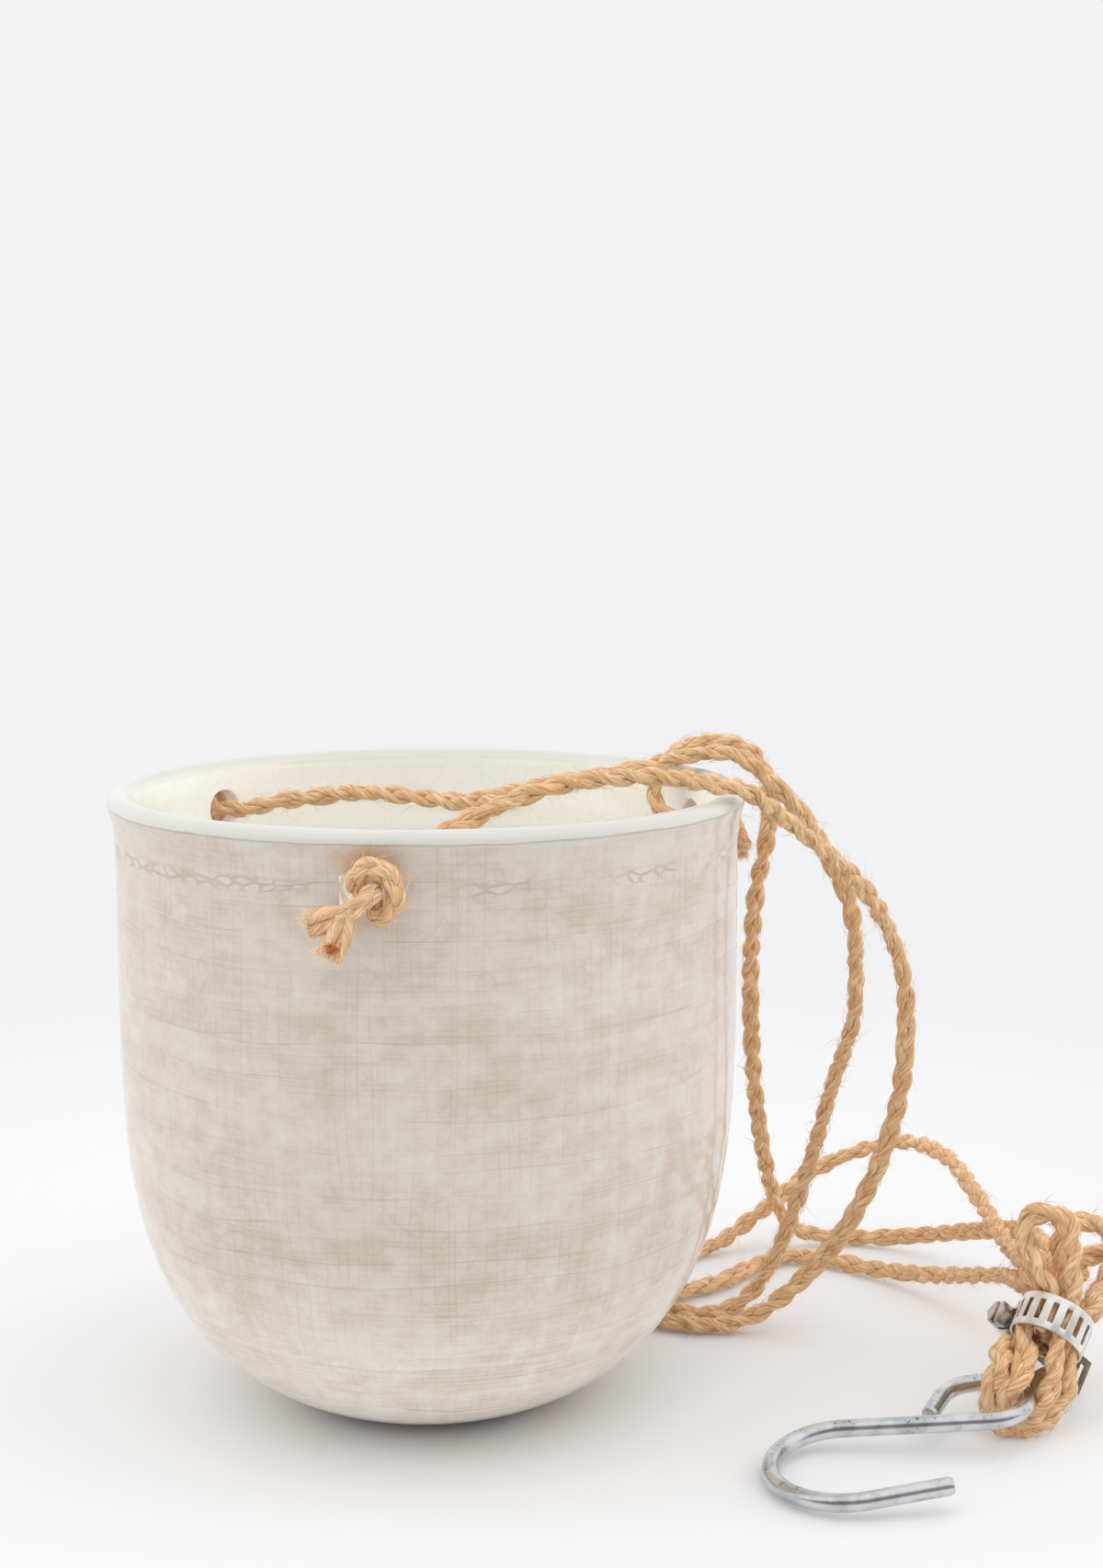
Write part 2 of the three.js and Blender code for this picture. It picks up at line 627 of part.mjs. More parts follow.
// Hook, drawn in its own plane from the tip of the leg to the cut end beside the shank
function hookGeometry() {
  const points = [];
  const turn = Math.PI + radians(BEND_EXTRA_DEGREES);
  const bendEnd = [SHANK_LENGTH + BEND_RADIUS * Math.sin(turn), EYE_RADIUS + BEND_RADIUS * (1 - Math.cos(turn))];
  points.push(inHook(bendEnd[0] + LEG_LENGTH * Math.cos(turn), bendEnd[1] + LEG_LENGTH * Math.sin(turn)));
  for (let i = 0; i <= ARC_STEPS; i += 1) {
    const angle = turn * (1 - i / ARC_STEPS);
    points.push(inHook(
      SHANK_LENGTH + BEND_RADIUS * Math.sin(angle),
      EYE_RADIUS + BEND_RADIUS * (1 - Math.cos(angle)),
    ));
  }
  const tailAcross = EYE_RADIUS - 2 * WIRE_RADIUS - TOUCH_GAP;
  const reach = Math.hypot(EYE_TAIL, tailAcross);
  const leaveAngle = Math.atan2(tailAcross, EYE_TAIL) - Math.acos(EYE_RADIUS / reach);
  const eyeTurn = 1.5 * Math.PI + leaveAngle;
  for (let i = 0; i <= ARC_STEPS; i += 1) {
    const angle = Math.PI / 2 + eyeTurn * (i / ARC_STEPS);
    points.push(inHook(EYE_RADIUS * Math.cos(angle), EYE_RADIUS * Math.sin(angle)));
  }
  points.push(inHook(EYE_TAIL, tailAcross));
  const curve = new THREE.CatmullRomCurve3(points);
  return sweptTube(curve, points.length - 1, () => WIRE_RADIUS, WIRE_SIDES);
}

function piece(name, geometry, color, roughness, metalness) {
  const mesh = new THREE.Mesh(geometry, new THREE.MeshStandardMaterial({ color, roughness, metalness }));
  mesh.name = name;
  return mesh;
}

const vase = new THREE.Group();
vase.add(piece('vase_body', vaseGeometry(), 0xe6dfd3, 0.25, 0));
for (const name of Object.keys(HOLE_ANGLES)) {
  vase.add(piece(`${name}_knot`, knotGeometry(name), 0xd2aa78, 0.95, 0));
  vase.add(piece(`${name}_rope_run`, runGeometry(name), 0xd2aa78, 0.95, 0));
  vase.add(piece(`${name}_rope_hank`, hankGeometry(name), 0xd2aa78, 0.95, 0));
}

const clamp = new THREE.Group();
clamp.position.copy(CLAMP_CENTRE);
clamp.quaternion.setFromRotationMatrix(
  new THREE.Matrix4().makeBasis(bundleSide, bundleFront, BUNDLE_AXIS.clone().negate()),
);
const wormDrive = new THREE.Group();
wormDrive.rotation.z = radians(HOUSING_ANGLE - 270);
wormDrive.add(piece('clamp_band', bandGeometry(), 0xcdcdc6, 0.45, 0.9));
const strap = piece('clamp_strap_end', strapGeometry(), 0x8a857a, 0.45, 0.9);
strap.position.y = -(strapBottom + strapTop) / 2;
wormDrive.add(strap);
wormDrive.add(piece('clamp_housing', housingGeometry(), 0xb4b3ac, 0.4, 0.9));
const screw = piece('clamp_screw', screwGeometry(), 0xc4c3bc, 0.35, 0.9);
screw.position.y = -screwHeight;
wormDrive.add(screw);
clamp.add(wormDrive);
vase.add(clamp);
vase.add(piece('hook', hookGeometry(), 0x9a9c9e, 0.3, 1));

export default vase;
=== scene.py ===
import math

import bmesh
import bpy
import numpy as np
from mathutils import Matrix, Vector


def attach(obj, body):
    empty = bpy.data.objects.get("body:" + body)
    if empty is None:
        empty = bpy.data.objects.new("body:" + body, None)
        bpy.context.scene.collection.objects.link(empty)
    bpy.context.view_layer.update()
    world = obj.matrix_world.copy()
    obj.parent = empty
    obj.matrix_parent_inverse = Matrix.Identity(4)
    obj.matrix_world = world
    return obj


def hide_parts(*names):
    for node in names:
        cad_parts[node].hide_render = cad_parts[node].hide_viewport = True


# Hanging vase: a crackle-glazed pot on three plaited jute ropes, which are folded over the eye of a
# wire hook and pinched by a worm-drive clamp. Metres, +Z up, origin at the centre of the pot's foot.

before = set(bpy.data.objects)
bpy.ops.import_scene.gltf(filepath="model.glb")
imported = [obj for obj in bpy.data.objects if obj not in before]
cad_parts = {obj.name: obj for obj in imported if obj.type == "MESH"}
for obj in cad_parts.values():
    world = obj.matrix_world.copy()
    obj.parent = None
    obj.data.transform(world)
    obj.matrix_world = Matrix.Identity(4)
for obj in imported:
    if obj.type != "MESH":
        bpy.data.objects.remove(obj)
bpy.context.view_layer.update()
chance = np.random.default_rng(8)

# Camera, as the photograph was taken
CAMERA_PLACE = (0.0372, -0.6503, 0.2747)
CAMERA_PITCH = 7.66
CAMERA_LENS = 50
CAMERA_FILM = 36

# Pot
VASE_HEIGHT = 0.1875
BODY_RADIUS = 0.0929
SHOULDER_HEIGHT = 0.145
FOOT_RADIUS = 0.024
BOWL_DROP_POWER = 3.94
BOWL_SPREAD_POWER = 1.8
WALL = 0.0052
FLOOR_THICKNESS = 0.007
INNER_FLOOR_RADIUS = 0.02
LIP_RADIUS = 0.095
LIP_WALL = 0.007
FLARE_DROP = 0.019
FLARE_POWER = 2.4
HOLE_RADIUS = 0.00625
HOLE_DROP = 0.0155
HOLE_ANGLES = {"front": -97.5, "left": 142.5, "right": 22.5}

# Ropes: radius on the free run, in the loops above the clamp, round the eye and where they are pinched
ROPE_RADIUS = 0.003
LOOP_ROPE_RADIUS = 0.0035
FOLD_ROPE_RADIUS = 0.0035
PINCHED_ROPE_RADIUS = 0.0027
KNOT_ROPE_RADIUS = 0.0026
TOUCH_GAP = 0.0003
PLAIT_PITCH = 0.029
PLAIT_STEP = 0.0012

# Hank, pinched at the clamp and folded over the eye wire
CLAMP_CENTRE = np.array((0.186, -0.03, 0.0282))
BUNDLE_AXIS = np.array((0.47, 0.57, 0.67))
WAIST_STRAND = 0.0024
WAIST_GAP = 0.0009
WAIST_PLACES = 8
WAIST_REACH = 0.006
FOLD_DROP = 0.0226
FOLD_SLACK = 0.0008
FOLD_LEG = 0.0015
FOLD_TWIST = 65
FOLD_STEPS = 8
LOOP_START = -20
LOOP_END = 200
LOOP_STEPS = 8

# Worm-drive clamp
BAND_SLACK = 0.0005
BAND_WIDTH = 0.011
BAND_THICKNESS = 0.0007
SLOT_LENGTH = 0.0065
SLOT_WIDTH = 0.0017
SLOT_PITCH_DEGREES = 22
BAND_SLOTS = 13
HOUSING_ANGLE = 257
HOUSING_LENGTH = 0.01
HOUSING_WALL = 0.001
STRAP_TAIL = 0.0275
STRAP_INSET = 0.002
STRAP_SLOT_PITCH = 0.004
STRAP_END_MARGIN = 0.0028
SCREW_RADIUS = 0.0032
THREAD_DEPTH = 0.0007
THREAD_PITCH = 0.0016
HEAD_ACROSS_FLATS = 0.007
HEAD_LENGTH = 0.004
HEAD_SLOT_WIDTH = 0.001
HEAD_SLOT_DEPTH = 0.0014
SCREW_TIP = 0.002

# Hook
WIRE_RADIUS = 0.0025
EYE_RADIUS = 0.0125
EYE_TAIL = 0.016
EYE_CONTACT_DEGREES = 16
SHANK_LENGTH = 0.04
BEND_RADIUS = 0.0214
BEND_EXTRA_DEGREES = 15
LEG_LENGTH = 0.0235
HOOK_YAW = -7
HOOK_TILT = 6.1
HOOK_ROLL = -2

# Each rope's free run in millimetres, as points from inside its hole to where its hank begins
RUNS = {
    "front": [
        (-4, -79, 174.5), (3, -75, 179.5), (11.8, -71.5, 185.2), (27.2, -66, 192), (42.2, -60, 195.6),
        (57.5, -53, 196.4), (73.3, -44, 194.6), (84, -36.5, 192), (93, -29, 189.2), (104.7, -18, 180),
        (120, -5, 167), (132.8, 6, 154), (142.3, 16, 139), (148.2, 22, 123), (150, 26, 107.5),
        (149.4, 29, 85.8), (145.6, 31, 66.9), (138.7, 32.5, 48), (130.2, 34, 32.3), (118.5, 35, 18),
        (106, 35.5, 7.5), (96, 35.3, 3.6), (86, 35.3, 3.3), (76, 38, 3.3), (67.5, 45.5, 3.3),
        (63, 57, 3.3), (63.5, 71, 3.3), (69, 86, 3.3), (80, 99.5, 3.3), (96, 110, 3.8), (114.9, 122, 13),
        (132.9, 132, 23.5), (150, 133, 31.5), (166.7, 121, 39), (177, 96, 41), (181.2, 66, 38),
        (183, 36, 35.5), (183.2, 12, 36.2), (182.3, -2, 39), (181.7, -12, 41.3), (181.5, -19.5, 41.5),
    ],
    "left": [
        (-60, 49.5, 172.8), (-52.4, 49, 174.8), (-34.2, 47.5, 177.2), (-22.1, 46, 178.4),
        (-4.2, 44, 176.8), (10.6, 42, 175.8), (19.5, 41, 177.6), (37.2, 38, 182.1), (54.7, 36, 185.2),
        (70, 34, 189), (82, 32, 192.2), (92, 30.5, 193.2), (99, 30, 190.5), (106, 30, 184.5),
        (115.7, 31, 174), (126.4, 33, 157), (132.8, 35, 143), (135.4, 38, 120), (135.2, 40.5, 104.5),
        (129.3, 44, 81.9), (123.9, 47, 59), (117.1, 49.5, 35.5), (112, 50, 21.5), (105, 48.5, 10.5),
        (96, 45, 4.6), (87, 43.5, 3.3), (79, 46.5, 3.3), (75, 53.5, 3.3), (77.5, 61.5, 3.3),
        (85, 67, 3.3), (96, 75, 3.3), (108, 89, 3.3), (121, 100, 3.3), (135, 97, 3.3), (150, 86, 3.8),
        (163.5, 69, 8), (174.3, 45, 16.5), (180, 25, 24), (181.8, 12, 28.5), (181.3, 2, 31.5),
        (181.3, -8, 34), (182.2, -16, 35.2),
    ],
    "right": [
        (72.3, 32.5, 173.6), (70, 35.5, 179), (71.5, 40, 185.8), (77, 45, 191.3), (85.5, 49.5, 194.3),
        (95, 53, 193.8), (103, 56, 189.5), (107.8, 59, 181), (108.9, 61, 172), (108.5, 63, 160),
        (105.8, 67, 143), (104.9, 75, 115), (107, 86, 79), (110.6, 97, 52.4), (114.8, 105.5, 32),
        (119.5, 112, 17), (127, 117, 7.5), (139, 120, 3.5), (155, 118, 3.7), (170.4, 108.5, 8),
        (182.7, 88, 16.5), (189.6, 60, 27), (191.2, 36, 35), (191.6, 16, 40), (191.2, 2, 40),
        (190, -9, 36.5),
    ],
}

# Knots in millimetres: the turns of an overhand knot along the rim, outward and up from a hole, and the
# ends of its tail
KNOT_TURNS = [
    (0, -3, 0), (-0.5, 4, 0.5), (0, 6.5, 4.5), (4, 7.5, 7.5), (8.8, 7.2, 5), (10.6, 6.8, 0),
    (8.6, 6.2, -4.8), (4.2, 4.6, -6.4), (4.5, 4.5, -0.5), (4.8, 9, 0.8), (1.5, 11.5, -2.2),
    (-3, 11.2, -6.2),
]
KNOTS = {
    "front": {"hand": 1, "tails": [(-12, 10, -8), (-6, 13.5, -15.5)]},
    "left": {"hand": -1, "tails": [(-10, 9, -10), (-5, 10.5, -14.5)]},
    "right": {"hand": 1, "tails": [(-6, 11, -10), (-1, 12, -13.5)]},
}
KNOT_PLAIT_PITCH = 0.02
TAIL_STRAND_RADIUS = 0.0016
TAIL_STRAND_SIDES = 9
TAIL_STEP = 0.0008
TAIL_FLARE = (0.9, 1.25)
MILLIMETRE = 0.001

# Plait: its strands' sway, lift and size as shares of its radius, and how unevenly it rolls and hastens
STRAND_SWAY = 0.47
STRAND_LIFT = 0.36
STRAND_HALF_WIDTH = 0.58
STRAND_HALF_HEIGHT = 0.5
STRAND_SIDES = 12
STRANDS = 3
ROLL = 1.3
ROLL_LENGTH = 0.21
HASTE = 0.35
HASTE_LENGTH = 0.08
SWELL = 0.06
SWELL_LENGTH = 0.03

# Fibres: how many lie on a rope and stand off it, how far they lean away, their lengths and radii
LYING_FIBRES_PER_METRE = 2600
STANDING_FIBRES_PER_METRE = 1100
LYING_LEAN = 0.2
KNOT_LEAN = 0.4
TAIL_LEAN = 0.35
STANDING_LEAN = 1.6
LYING_LENGTH = 0.0065
STANDING_LENGTH = 0.008
KNOT_LYING_LENGTH = 0.005
KNOT_STANDING_LENGTH = 0.013
TAIL_LYING_LENGTH = 0.004
FIBRE_ROOT = 0.92
FIBRE_RADII = (0.00005, 0.0001)
FRAYED_RADII = (0.00008, 0.00016)
FIBRE_TONES = 9
FIBRE_LOWEST = 0.0001
FRAYED_FIBRES = 110
FRAYED_LENGTH = 0.0034
FRAYED_ROOT = 0.0015
FRAYED_FAN = 0.55
STAINED_FIBRES = 120
STAINED_LENGTH = 0.0026
STAINED_SETBACK = 0.0022
STAINED_RISE = 1.2

# Fineness of the meshes, their eased edges, and the angles in degrees from which an edge is sharp
POT_RING_STEP = 0.0022
POT_SEGMENTS = 192
HOLE_ROUNDING = 0.0006
HOLE_SEGMENTS = 64
BAND_SEGMENTS = 120
WIRE_STEP = 0.0008
WIRE_SIDES = 28
WIRE_END = 0.8
WIRE_END_ROUNDING = (-0.0004, 0.0009)
BAND_EASING = 0.00012
STRAP_EASING = 0.00015
HOUSING_EASING = 0.0002
HEAD_EASING = 0.0003
POT_SHARP = 20
EASED_SHARP = 35
SCREW_SHARP = 40
HOOK_SHARP = 50

# Unevenness of the thrown wall
OVAL = 0.0003
LOBES = 0.0002
THROWING_RING = 0.00007
THROWING_RING_STEP = 0.0075

# Hairlines in the glaze: the stretch of their breaks, then their spacing, width, wander and wholeness
LEVEL_LINES = {"stretch": (22, 22, 90), "spacing": 0.0085, "width": 0.00028, "wander": 0.02, "whole": 0.08}
THREADS = {"stretch": (45, 45, 260), "spacing": 0.002, "width": 0.00028, "wander": 0.006, "whole": 0.08}
UPRIGHTS = {"stretch": (160, 160, 30), "spacing": 0.0032, "width": 0.00024, "wander": 0.009, "whole": 0.12}
GLAZE_IOR = 1.5

# Heights on the glaze where one look gives way to another
# Heights over which the wall turns paler towards the bottom, as painted bounce light from the floor; the
# same mask also thickens the hairlines low down
LOW_WALL_BOUNCE_LIGHT = (0.075, 0.01)
# Heights over which the foot turns dark brown: painted shade where the pot meets the floor
FOOT_SHADE = (0.0065, 0.002)
CREASE_BOTTOM = (0.1685, 0.1705)
CREASE_TOP = (0.1745, 0.173)
LIP_SHADOW = (0.1838, 0.1843)
LIP_EDGE = (0.1844, 0.1847)
# Heights where the top of the lip is painted darker: painted shade against the strong light from above
LIP_TOP_SHADE = (0.1858, 0.1872)
INNER_LIP = (0.1835, 0.187)

# Studio
BACKGROUND = (0.885, 0.89, 0.9, 1)
FLOOR_COLOUR = (0.82, 0.828, 0.838, 1)
FLOOR_REACH = 40
LIGHT_ALL_ROUND = 0.32
LIGHT_FROM_SIDES = 1.55
LIGHT_FROM_ABOVE = 1.45
LIGHT_FROM_BEHIND = 0.2
OVERHEAD_RISE = 0.97
OVERHEAD_FORWARD = -0.24
OVERHEAD_FOCUS = 3
MIRRORED_BRIGHT = 0.9
MIRRORED_DARK = 0.24
MIRRORED_RISE = 0.65
MIRRORED_EDGE = (-0.45, 0.0)
FLOOR_FADE = (0.0, 0.6)

# Each rope's places round the waist, its place along the eye wire, and its loop above the clamp
HANKS = {
    "front": {
        "enter": 180, "leave": 90, "end": 135, "outer": False, "along": 0.5,
        "loop_centre": (0.1845, -0.026, 0.055), "loop_radius": 0.007,
        "loop_rise": (-0.1, 0.25, 0.96), "loop_across": (0.9, -0.3, 0.2),
    },
    "left": {
        "enter": 225, "leave": 45, "end": None, "outer": True, "along": 0,
        "loop_centre": (0.1995, -0.016, 0.047), "loop_radius": 0.0085,
        "loop_rise": (0.1, 0.35, 0.93), "loop_across": (0.97, -0.1, -0.1),
    },
    "right": {
        "enter": 270, "leave": 0, "end": 315, "outer": False, "along": -0.5,
        "loop_centre": (0.207, -0.006, 0.037), "loop_radius": 0.008,
        "loop_rise": (0.45, 0.75, 0.48), "loop_across": (0.75, -0.5, 0.1),
    },
}


# Lines and frames

def unit(vector):
    vector = np.array(vector, float)
    return vector / np.linalg.norm(vector)


def square_to(vector, axis):
    vector = np.array(vector, float)
    return unit(vector - axis * vector.dot(axis))


def turned(vector, axis, degrees):
    return np.array(Matrix.Rotation(math.radians(degrees), 3, Vector(axis)) @ Vector(vector))


def curve_through(points, fineness=24):
    """Points along a centripetal Catmull-Rom curve through the given points."""
    given = np.array(points, float)
    padded = np.vstack([2 * given[0] - given[1], given, 2 * given[-1] - given[-2]])
    share = np.linspace(0, 1, fineness, endpoint=False)[:, None]
    stretches = []
    for before, start, end, after in zip(padded, padded[1:], padded[2:], padded[3:]):
        first = np.linalg.norm(start - before) ** 0.5
        middle = np.linalg.norm(end - start) ** 0.5
        last = np.linalg.norm(after - end) ** 0.5
        leave = (start - before) / first - (end - before) / (first + middle) + (end - start) / middle
        arrive = (end - start) / middle - (after - start) / (middle + last) + (after - end) / last
        leave = leave * middle
        arrive = arrive * middle
        square = 3 * (end - start) - 2 * leave - arrive
        cube = 2 * (start - end) + leave + arrive
        stretches.append(start + leave * share + square * share ** 2 + cube * share ** 3)
    return np.vstack([*stretches, given[-1:]])


def travelled(line):
    steps = np.linalg.norm(np.diff(line, axis=0), axis=1)
    return np.concatenate([[0], np.cumsum(steps)])


def evenly(line, step):
    """The same line with points at an even step."""
    along = travelled(line)
    count = max(2, round(along[-1] / step) + 1)
    places = np.linspace(0, along[-1], count)
    return np.column_stack([np.interp(places, along, line[:, axis]) for axis in range(3)])


def directions(line):
    tangent = np.gradient(line, axis=0)
    return tangent / np.linalg.norm(tangent, axis=1)[:, None]


def carried_frame(line):
    """Tangent, normal and side along a line, with no twist of their own."""
    tangent = directions(line)
    helper = (0, 0, 1) if abs(tangent[0][2]) < 0.9 else (1, 0, 0)
    current = np.cross(helper, tangent[0])
    normal = np.empty_like(line)
    for i, along in enumerate(tangent):
        current = unit(current - along * current.dot(along))
        normal[i] = current
    return tangent, normal, np.cross(tangent, normal)


def smooth(value, low, high):
    share = np.clip((value - low) / (high - low), 0, 1)
    return share * share * (3 - 2 * share)


# Meshes

def tube(line, across, up, half_width, half_height, sides):
    """A closed tube: its points, its faces, and for each corner of a face its place round and along."""
    count = len(line)
    angle = 2 * math.pi * np.arange(sides) / sides
    wide = np.broadcast_to(half_width, count)[:, None, None] * np.cos(angle)[None, :, None]
    high = np.broadcast_to(half_height, count)[:, None, None] * np.sin(angle)[None, :, None]
    points = line[:, None] + across[:, None] * wide + up[:, None] * high
    along = travelled(line)
    faces = []
    corners = []
    for i in range(count - 1):
        for k in range(sides):
            following = (k + 1) % sides
            low = i * sides
            faces.append((low + k, low + following, low + sides + following, low + sides + k))
            left = k / sides
            right = (k + 1) / sides
            corners += [(left, along[i]), (right, along[i]), (right, along[i + 1]), (left, along[i + 1])]
    faces.append(tuple(range(sides - 1, -1, -1)))
    faces.append(tuple(range((count - 1) * sides, count * sides)))
    corners += [(0, along[0])] * sides + [(0, along[-1])] * sides
    return points.reshape(-1, 3), faces, corners


def mesh_of(name, points, faces):
    mesh = bpy.data.meshes.new(name)
    mesh.from_pydata(points, [], faces)
    return mesh


def mesh_from(name, solid):
    mesh = bpy.data.meshes.new(name)
    solid.to_mesh(mesh)
    solid.free()
    return mesh


class Shell:
    """Gathers the points, faces, corner places and crevice-shade depths of one mesh."""

    def __init__(self):
        self.points = []
        self.faces = []
        self.corners = []
        self.crevice_shade_depths = []
        self.count = 0

    def add(self, part, crevice_shade_depths=None, shift=0.0):
        points, faces, corners = part
        self.points.append(points)
        self.faces += [tuple(k + self.count for k in face) for face in faces]
        self.corners += [(left + shift, along) for left, along in corners]
        self.crevice_shade_depths.append(np.ones(len(points)) if crevice_shade_depths is None else crevice_shade_depths)
        self.count += len(points)

    def made(self, name, material):
        mesh = mesh_of(name, np.vstack(self.points).tolist(), self.faces)
        layer = mesh.uv_layers.new(name="strand")
        layer.data.foreach_set("uv", np.array(self.corners, float).ravel())
        depth = mesh.attributes.new("depth", "FLOAT", "POINT")
        depth.data.foreach_set("value", np.concatenate(self.crevice_shade_depths))
        return shown(name, mesh, material)


def shown(name, mesh, *materials):
    for material in materials:
        mesh.materials.append(material)
    mesh.shade_smooth()
    mesh.validate()
    piece = bpy.data.objects.new(name, mesh)
    bpy.context.scene.collection.objects.link(piece)
    return piece


def settled(piece):
    """The piece with its modifiers made part of its mesh."""
    mesh = bpy.data.meshes.new_from_object(piece.evaluated_get(bpy.context.evaluated_depsgraph_get()))
    piece.modifiers.clear()
    piece.data = mesh
    return piece


def combined(piece, operation, others):
    """The piece with others cut out of it or joined to it; the others are used up."""
    for other in others:
        change = piece.modifiers.new("combined", "BOOLEAN")
        change.operation = operation
        change.solver = "EXACT"
        change.object = other
    settled(piece)
    for other in others:
        bpy.data.objects.remove(other)
    return piece


def sharpened(piece, degrees):
    piece.data.shade_smooth()
    piece.data.set_sharp_from_angle(angle=math.radians(degrees))
    return piece


def eased(piece, width):
    """The piece with its sharp edges rounded over a small width."""
    bevel = piece.modifiers.new("eased", "BEVEL")
    bevel.width = width
    bevel.segments = 2
    bevel.limit_method = "ANGLE"
    bevel.angle_limit = math.radians(EASED_SHARP)
    return sharpened(settled(piece), EASED_SHARP)


def shown_box(name, low, high, *materials):
    solid = bmesh.new()
    bmesh.ops.create_cube(solid, size=1)
    for point in solid.verts:
        point.co = [a + (b - a) * (c + 0.5) for a, b, c in zip(low, high, point.co)]
    return shown(name, mesh_from(name, solid), *materials)


# Camera

def make_camera():
    data = bpy.data.cameras.new("camera")
    data.sensor_width = CAMERA_FILM
    data.lens = CAMERA_LENS
    camera = bpy.data.objects.new("camera", data)
    camera.location = CAMERA_PLACE
    camera.rotation_euler = (math.radians(90 - CAMERA_PITCH), 0, 0)
    bpy.context.scene.collection.objects.link(camera)
    bpy.context.scene.camera = camera


# Places that the ropes, the clamp and the hook share

hole_height = VASE_HEIGHT - HOLE_DROP
bundle_axis = unit(BUNDLE_AXIS)
bundle_front = square_to((0, -1, 0), bundle_axis)
bundle_side = np.cross(bundle_axis, bundle_front)
strand_pitch = 2 * WAIST_STRAND + WAIST_GAP
waist_ring = strand_pitch / (2 * math.sin(math.pi / WAIST_PLACES))
band_inner = waist_ring + WAIST_STRAND + BAND_SLACK
band_outer = band_inner + BAND_THICKNESS
yaw = math.radians(HOOK_YAW)
tilt = math.radians(HOOK_TILT)
hook_forward = -np.array((math.cos(tilt) * math.cos(yaw), math.cos(tilt) * math.sin(yaw), math.sin(tilt)))
hook_across = turned(square_to((0, -1, 0), hook_forward), hook_forward, HOOK_ROLL)
contact = math.radians(EYE_CONTACT_DEGREES)
fold_centre = CLAMP_CENTRE - FOLD_DROP * bundle_axis
eye_centre = fold_centre + EYE_RADIUS * (math.cos(contact) * hook_forward + math.sin(contact) * hook_across)
wire_at_fold = math.cos(contact) * hook_across - math.sin(contact) * hook_forward
fold_up = square_to(bundle_axis, wire_at_fold)
fold_side = np.cross(fold_up, wire_at_fold)
inner_fold = WIRE_RADIUS + WAIST_STRAND + FOLD_SLACK
outer_fold = inner_fold + strand_pitch * math.cos(math.radians(30))


def outer_radius(height):
    rise = np.clip((height - (VASE_HEIGHT - FLARE_DROP)) / (FLARE_DROP - LIP_WALL / 2), 0, 1)
    return BODY_RADIUS + (LIP_RADIUS - BODY_RADIUS) * rise ** FLARE_POWER


def hole_frame(name):
    """A hole's centre on the outer wall, and the ways along the rim, outward and up from it."""
    angle = math.radians(HOLE_ANGLES[name])
    outward = np.array((math.cos(angle), math.sin(angle), 0))
    sideways = np.array((-math.sin(angle), math.cos(angle), 0))
    up = np.array((0, 0, 1.0))
    return outward * outer_radius(hole_height) + up * hole_height, sideways, outward, up


def in_hook(forward, across):
    return eye_centre + forward * hook_forward + across * hook_across


# Ropes

def round_bundle(degrees, ring, along):
    """A place on a ring round the bundle's axis, some way along it from the clamp."""
    angle = math.radians(degrees)
    aside = ring * (math.cos(angle) * bundle_side + math.sin(angle) * bundle_front)
    return CLAMP_CENTRE + along * bundle_axis + aside


def waist_points(degrees):
    """Down through the clamp, on its axis where no degrees are given."""
    ring = 0 if degrees is None else waist_ring
    return [round_bundle(degrees or 0, ring, along) for along in (WAIST_REACH, 0, -WAIST_REACH)]


def arc_points(centre, radius, across, up, start, end, steps):
    points = []
    for i in range(steps + 1):
        angle = math.radians(start + (end - start) * i / steps)
        points.append(centre + radius * (math.cos(angle) * across + math.sin(angle) * up))
    return points


def fold_points(hank, radius):
    turn = math.pi + contact - hank["along"] * strand_pitch / EYE_RADIUS
    centre = in_hook(EYE_RADIUS * math.cos(turn), EYE_RADIUS * math.sin(turn))
    points = arc_points(centre, radius, fold_side, fold_up, 180, 360, FOLD_STEPS)
    leg = FOLD_LEG * fold_up
    return [points[0] + leg, *points, points[-1] + leg]


def loop_points(hank):
    rise = unit(hank["loop_rise"])
    across = square_to(hank["loop_across"], rise)
    centre = np.array(hank["loop_centre"])
    return arc_points(centre, hank["loop_radius"], across, rise, LOOP_START, LOOP_END, LOOP_STEPS)


def hank_points(hank):
    """Down through the clamp, round the eye wire, up through it, over in a loop and down to the cut end."""
    radius = outer_fold if hank["outer"] else inner_fold
    ring = math.hypot(radius, hank["along"] * strand_pitch)
    half_way = -(WAIST_REACH + FOLD_DROP) / 2
    return [
        *waist_points(hank["enter"]),
        round_bundle(hank["enter"] - FOLD_TWIST / 2, ring, half_way),
        *fold_points(hank, radius),
        round_bundle(hank["leave"] - FOLD_TWIST / 2, ring, half_way),
        *waist_points(hank["leave"])[::-1],
        *loop_points(hank),
        *waist_points(hank["end"]),
    ]


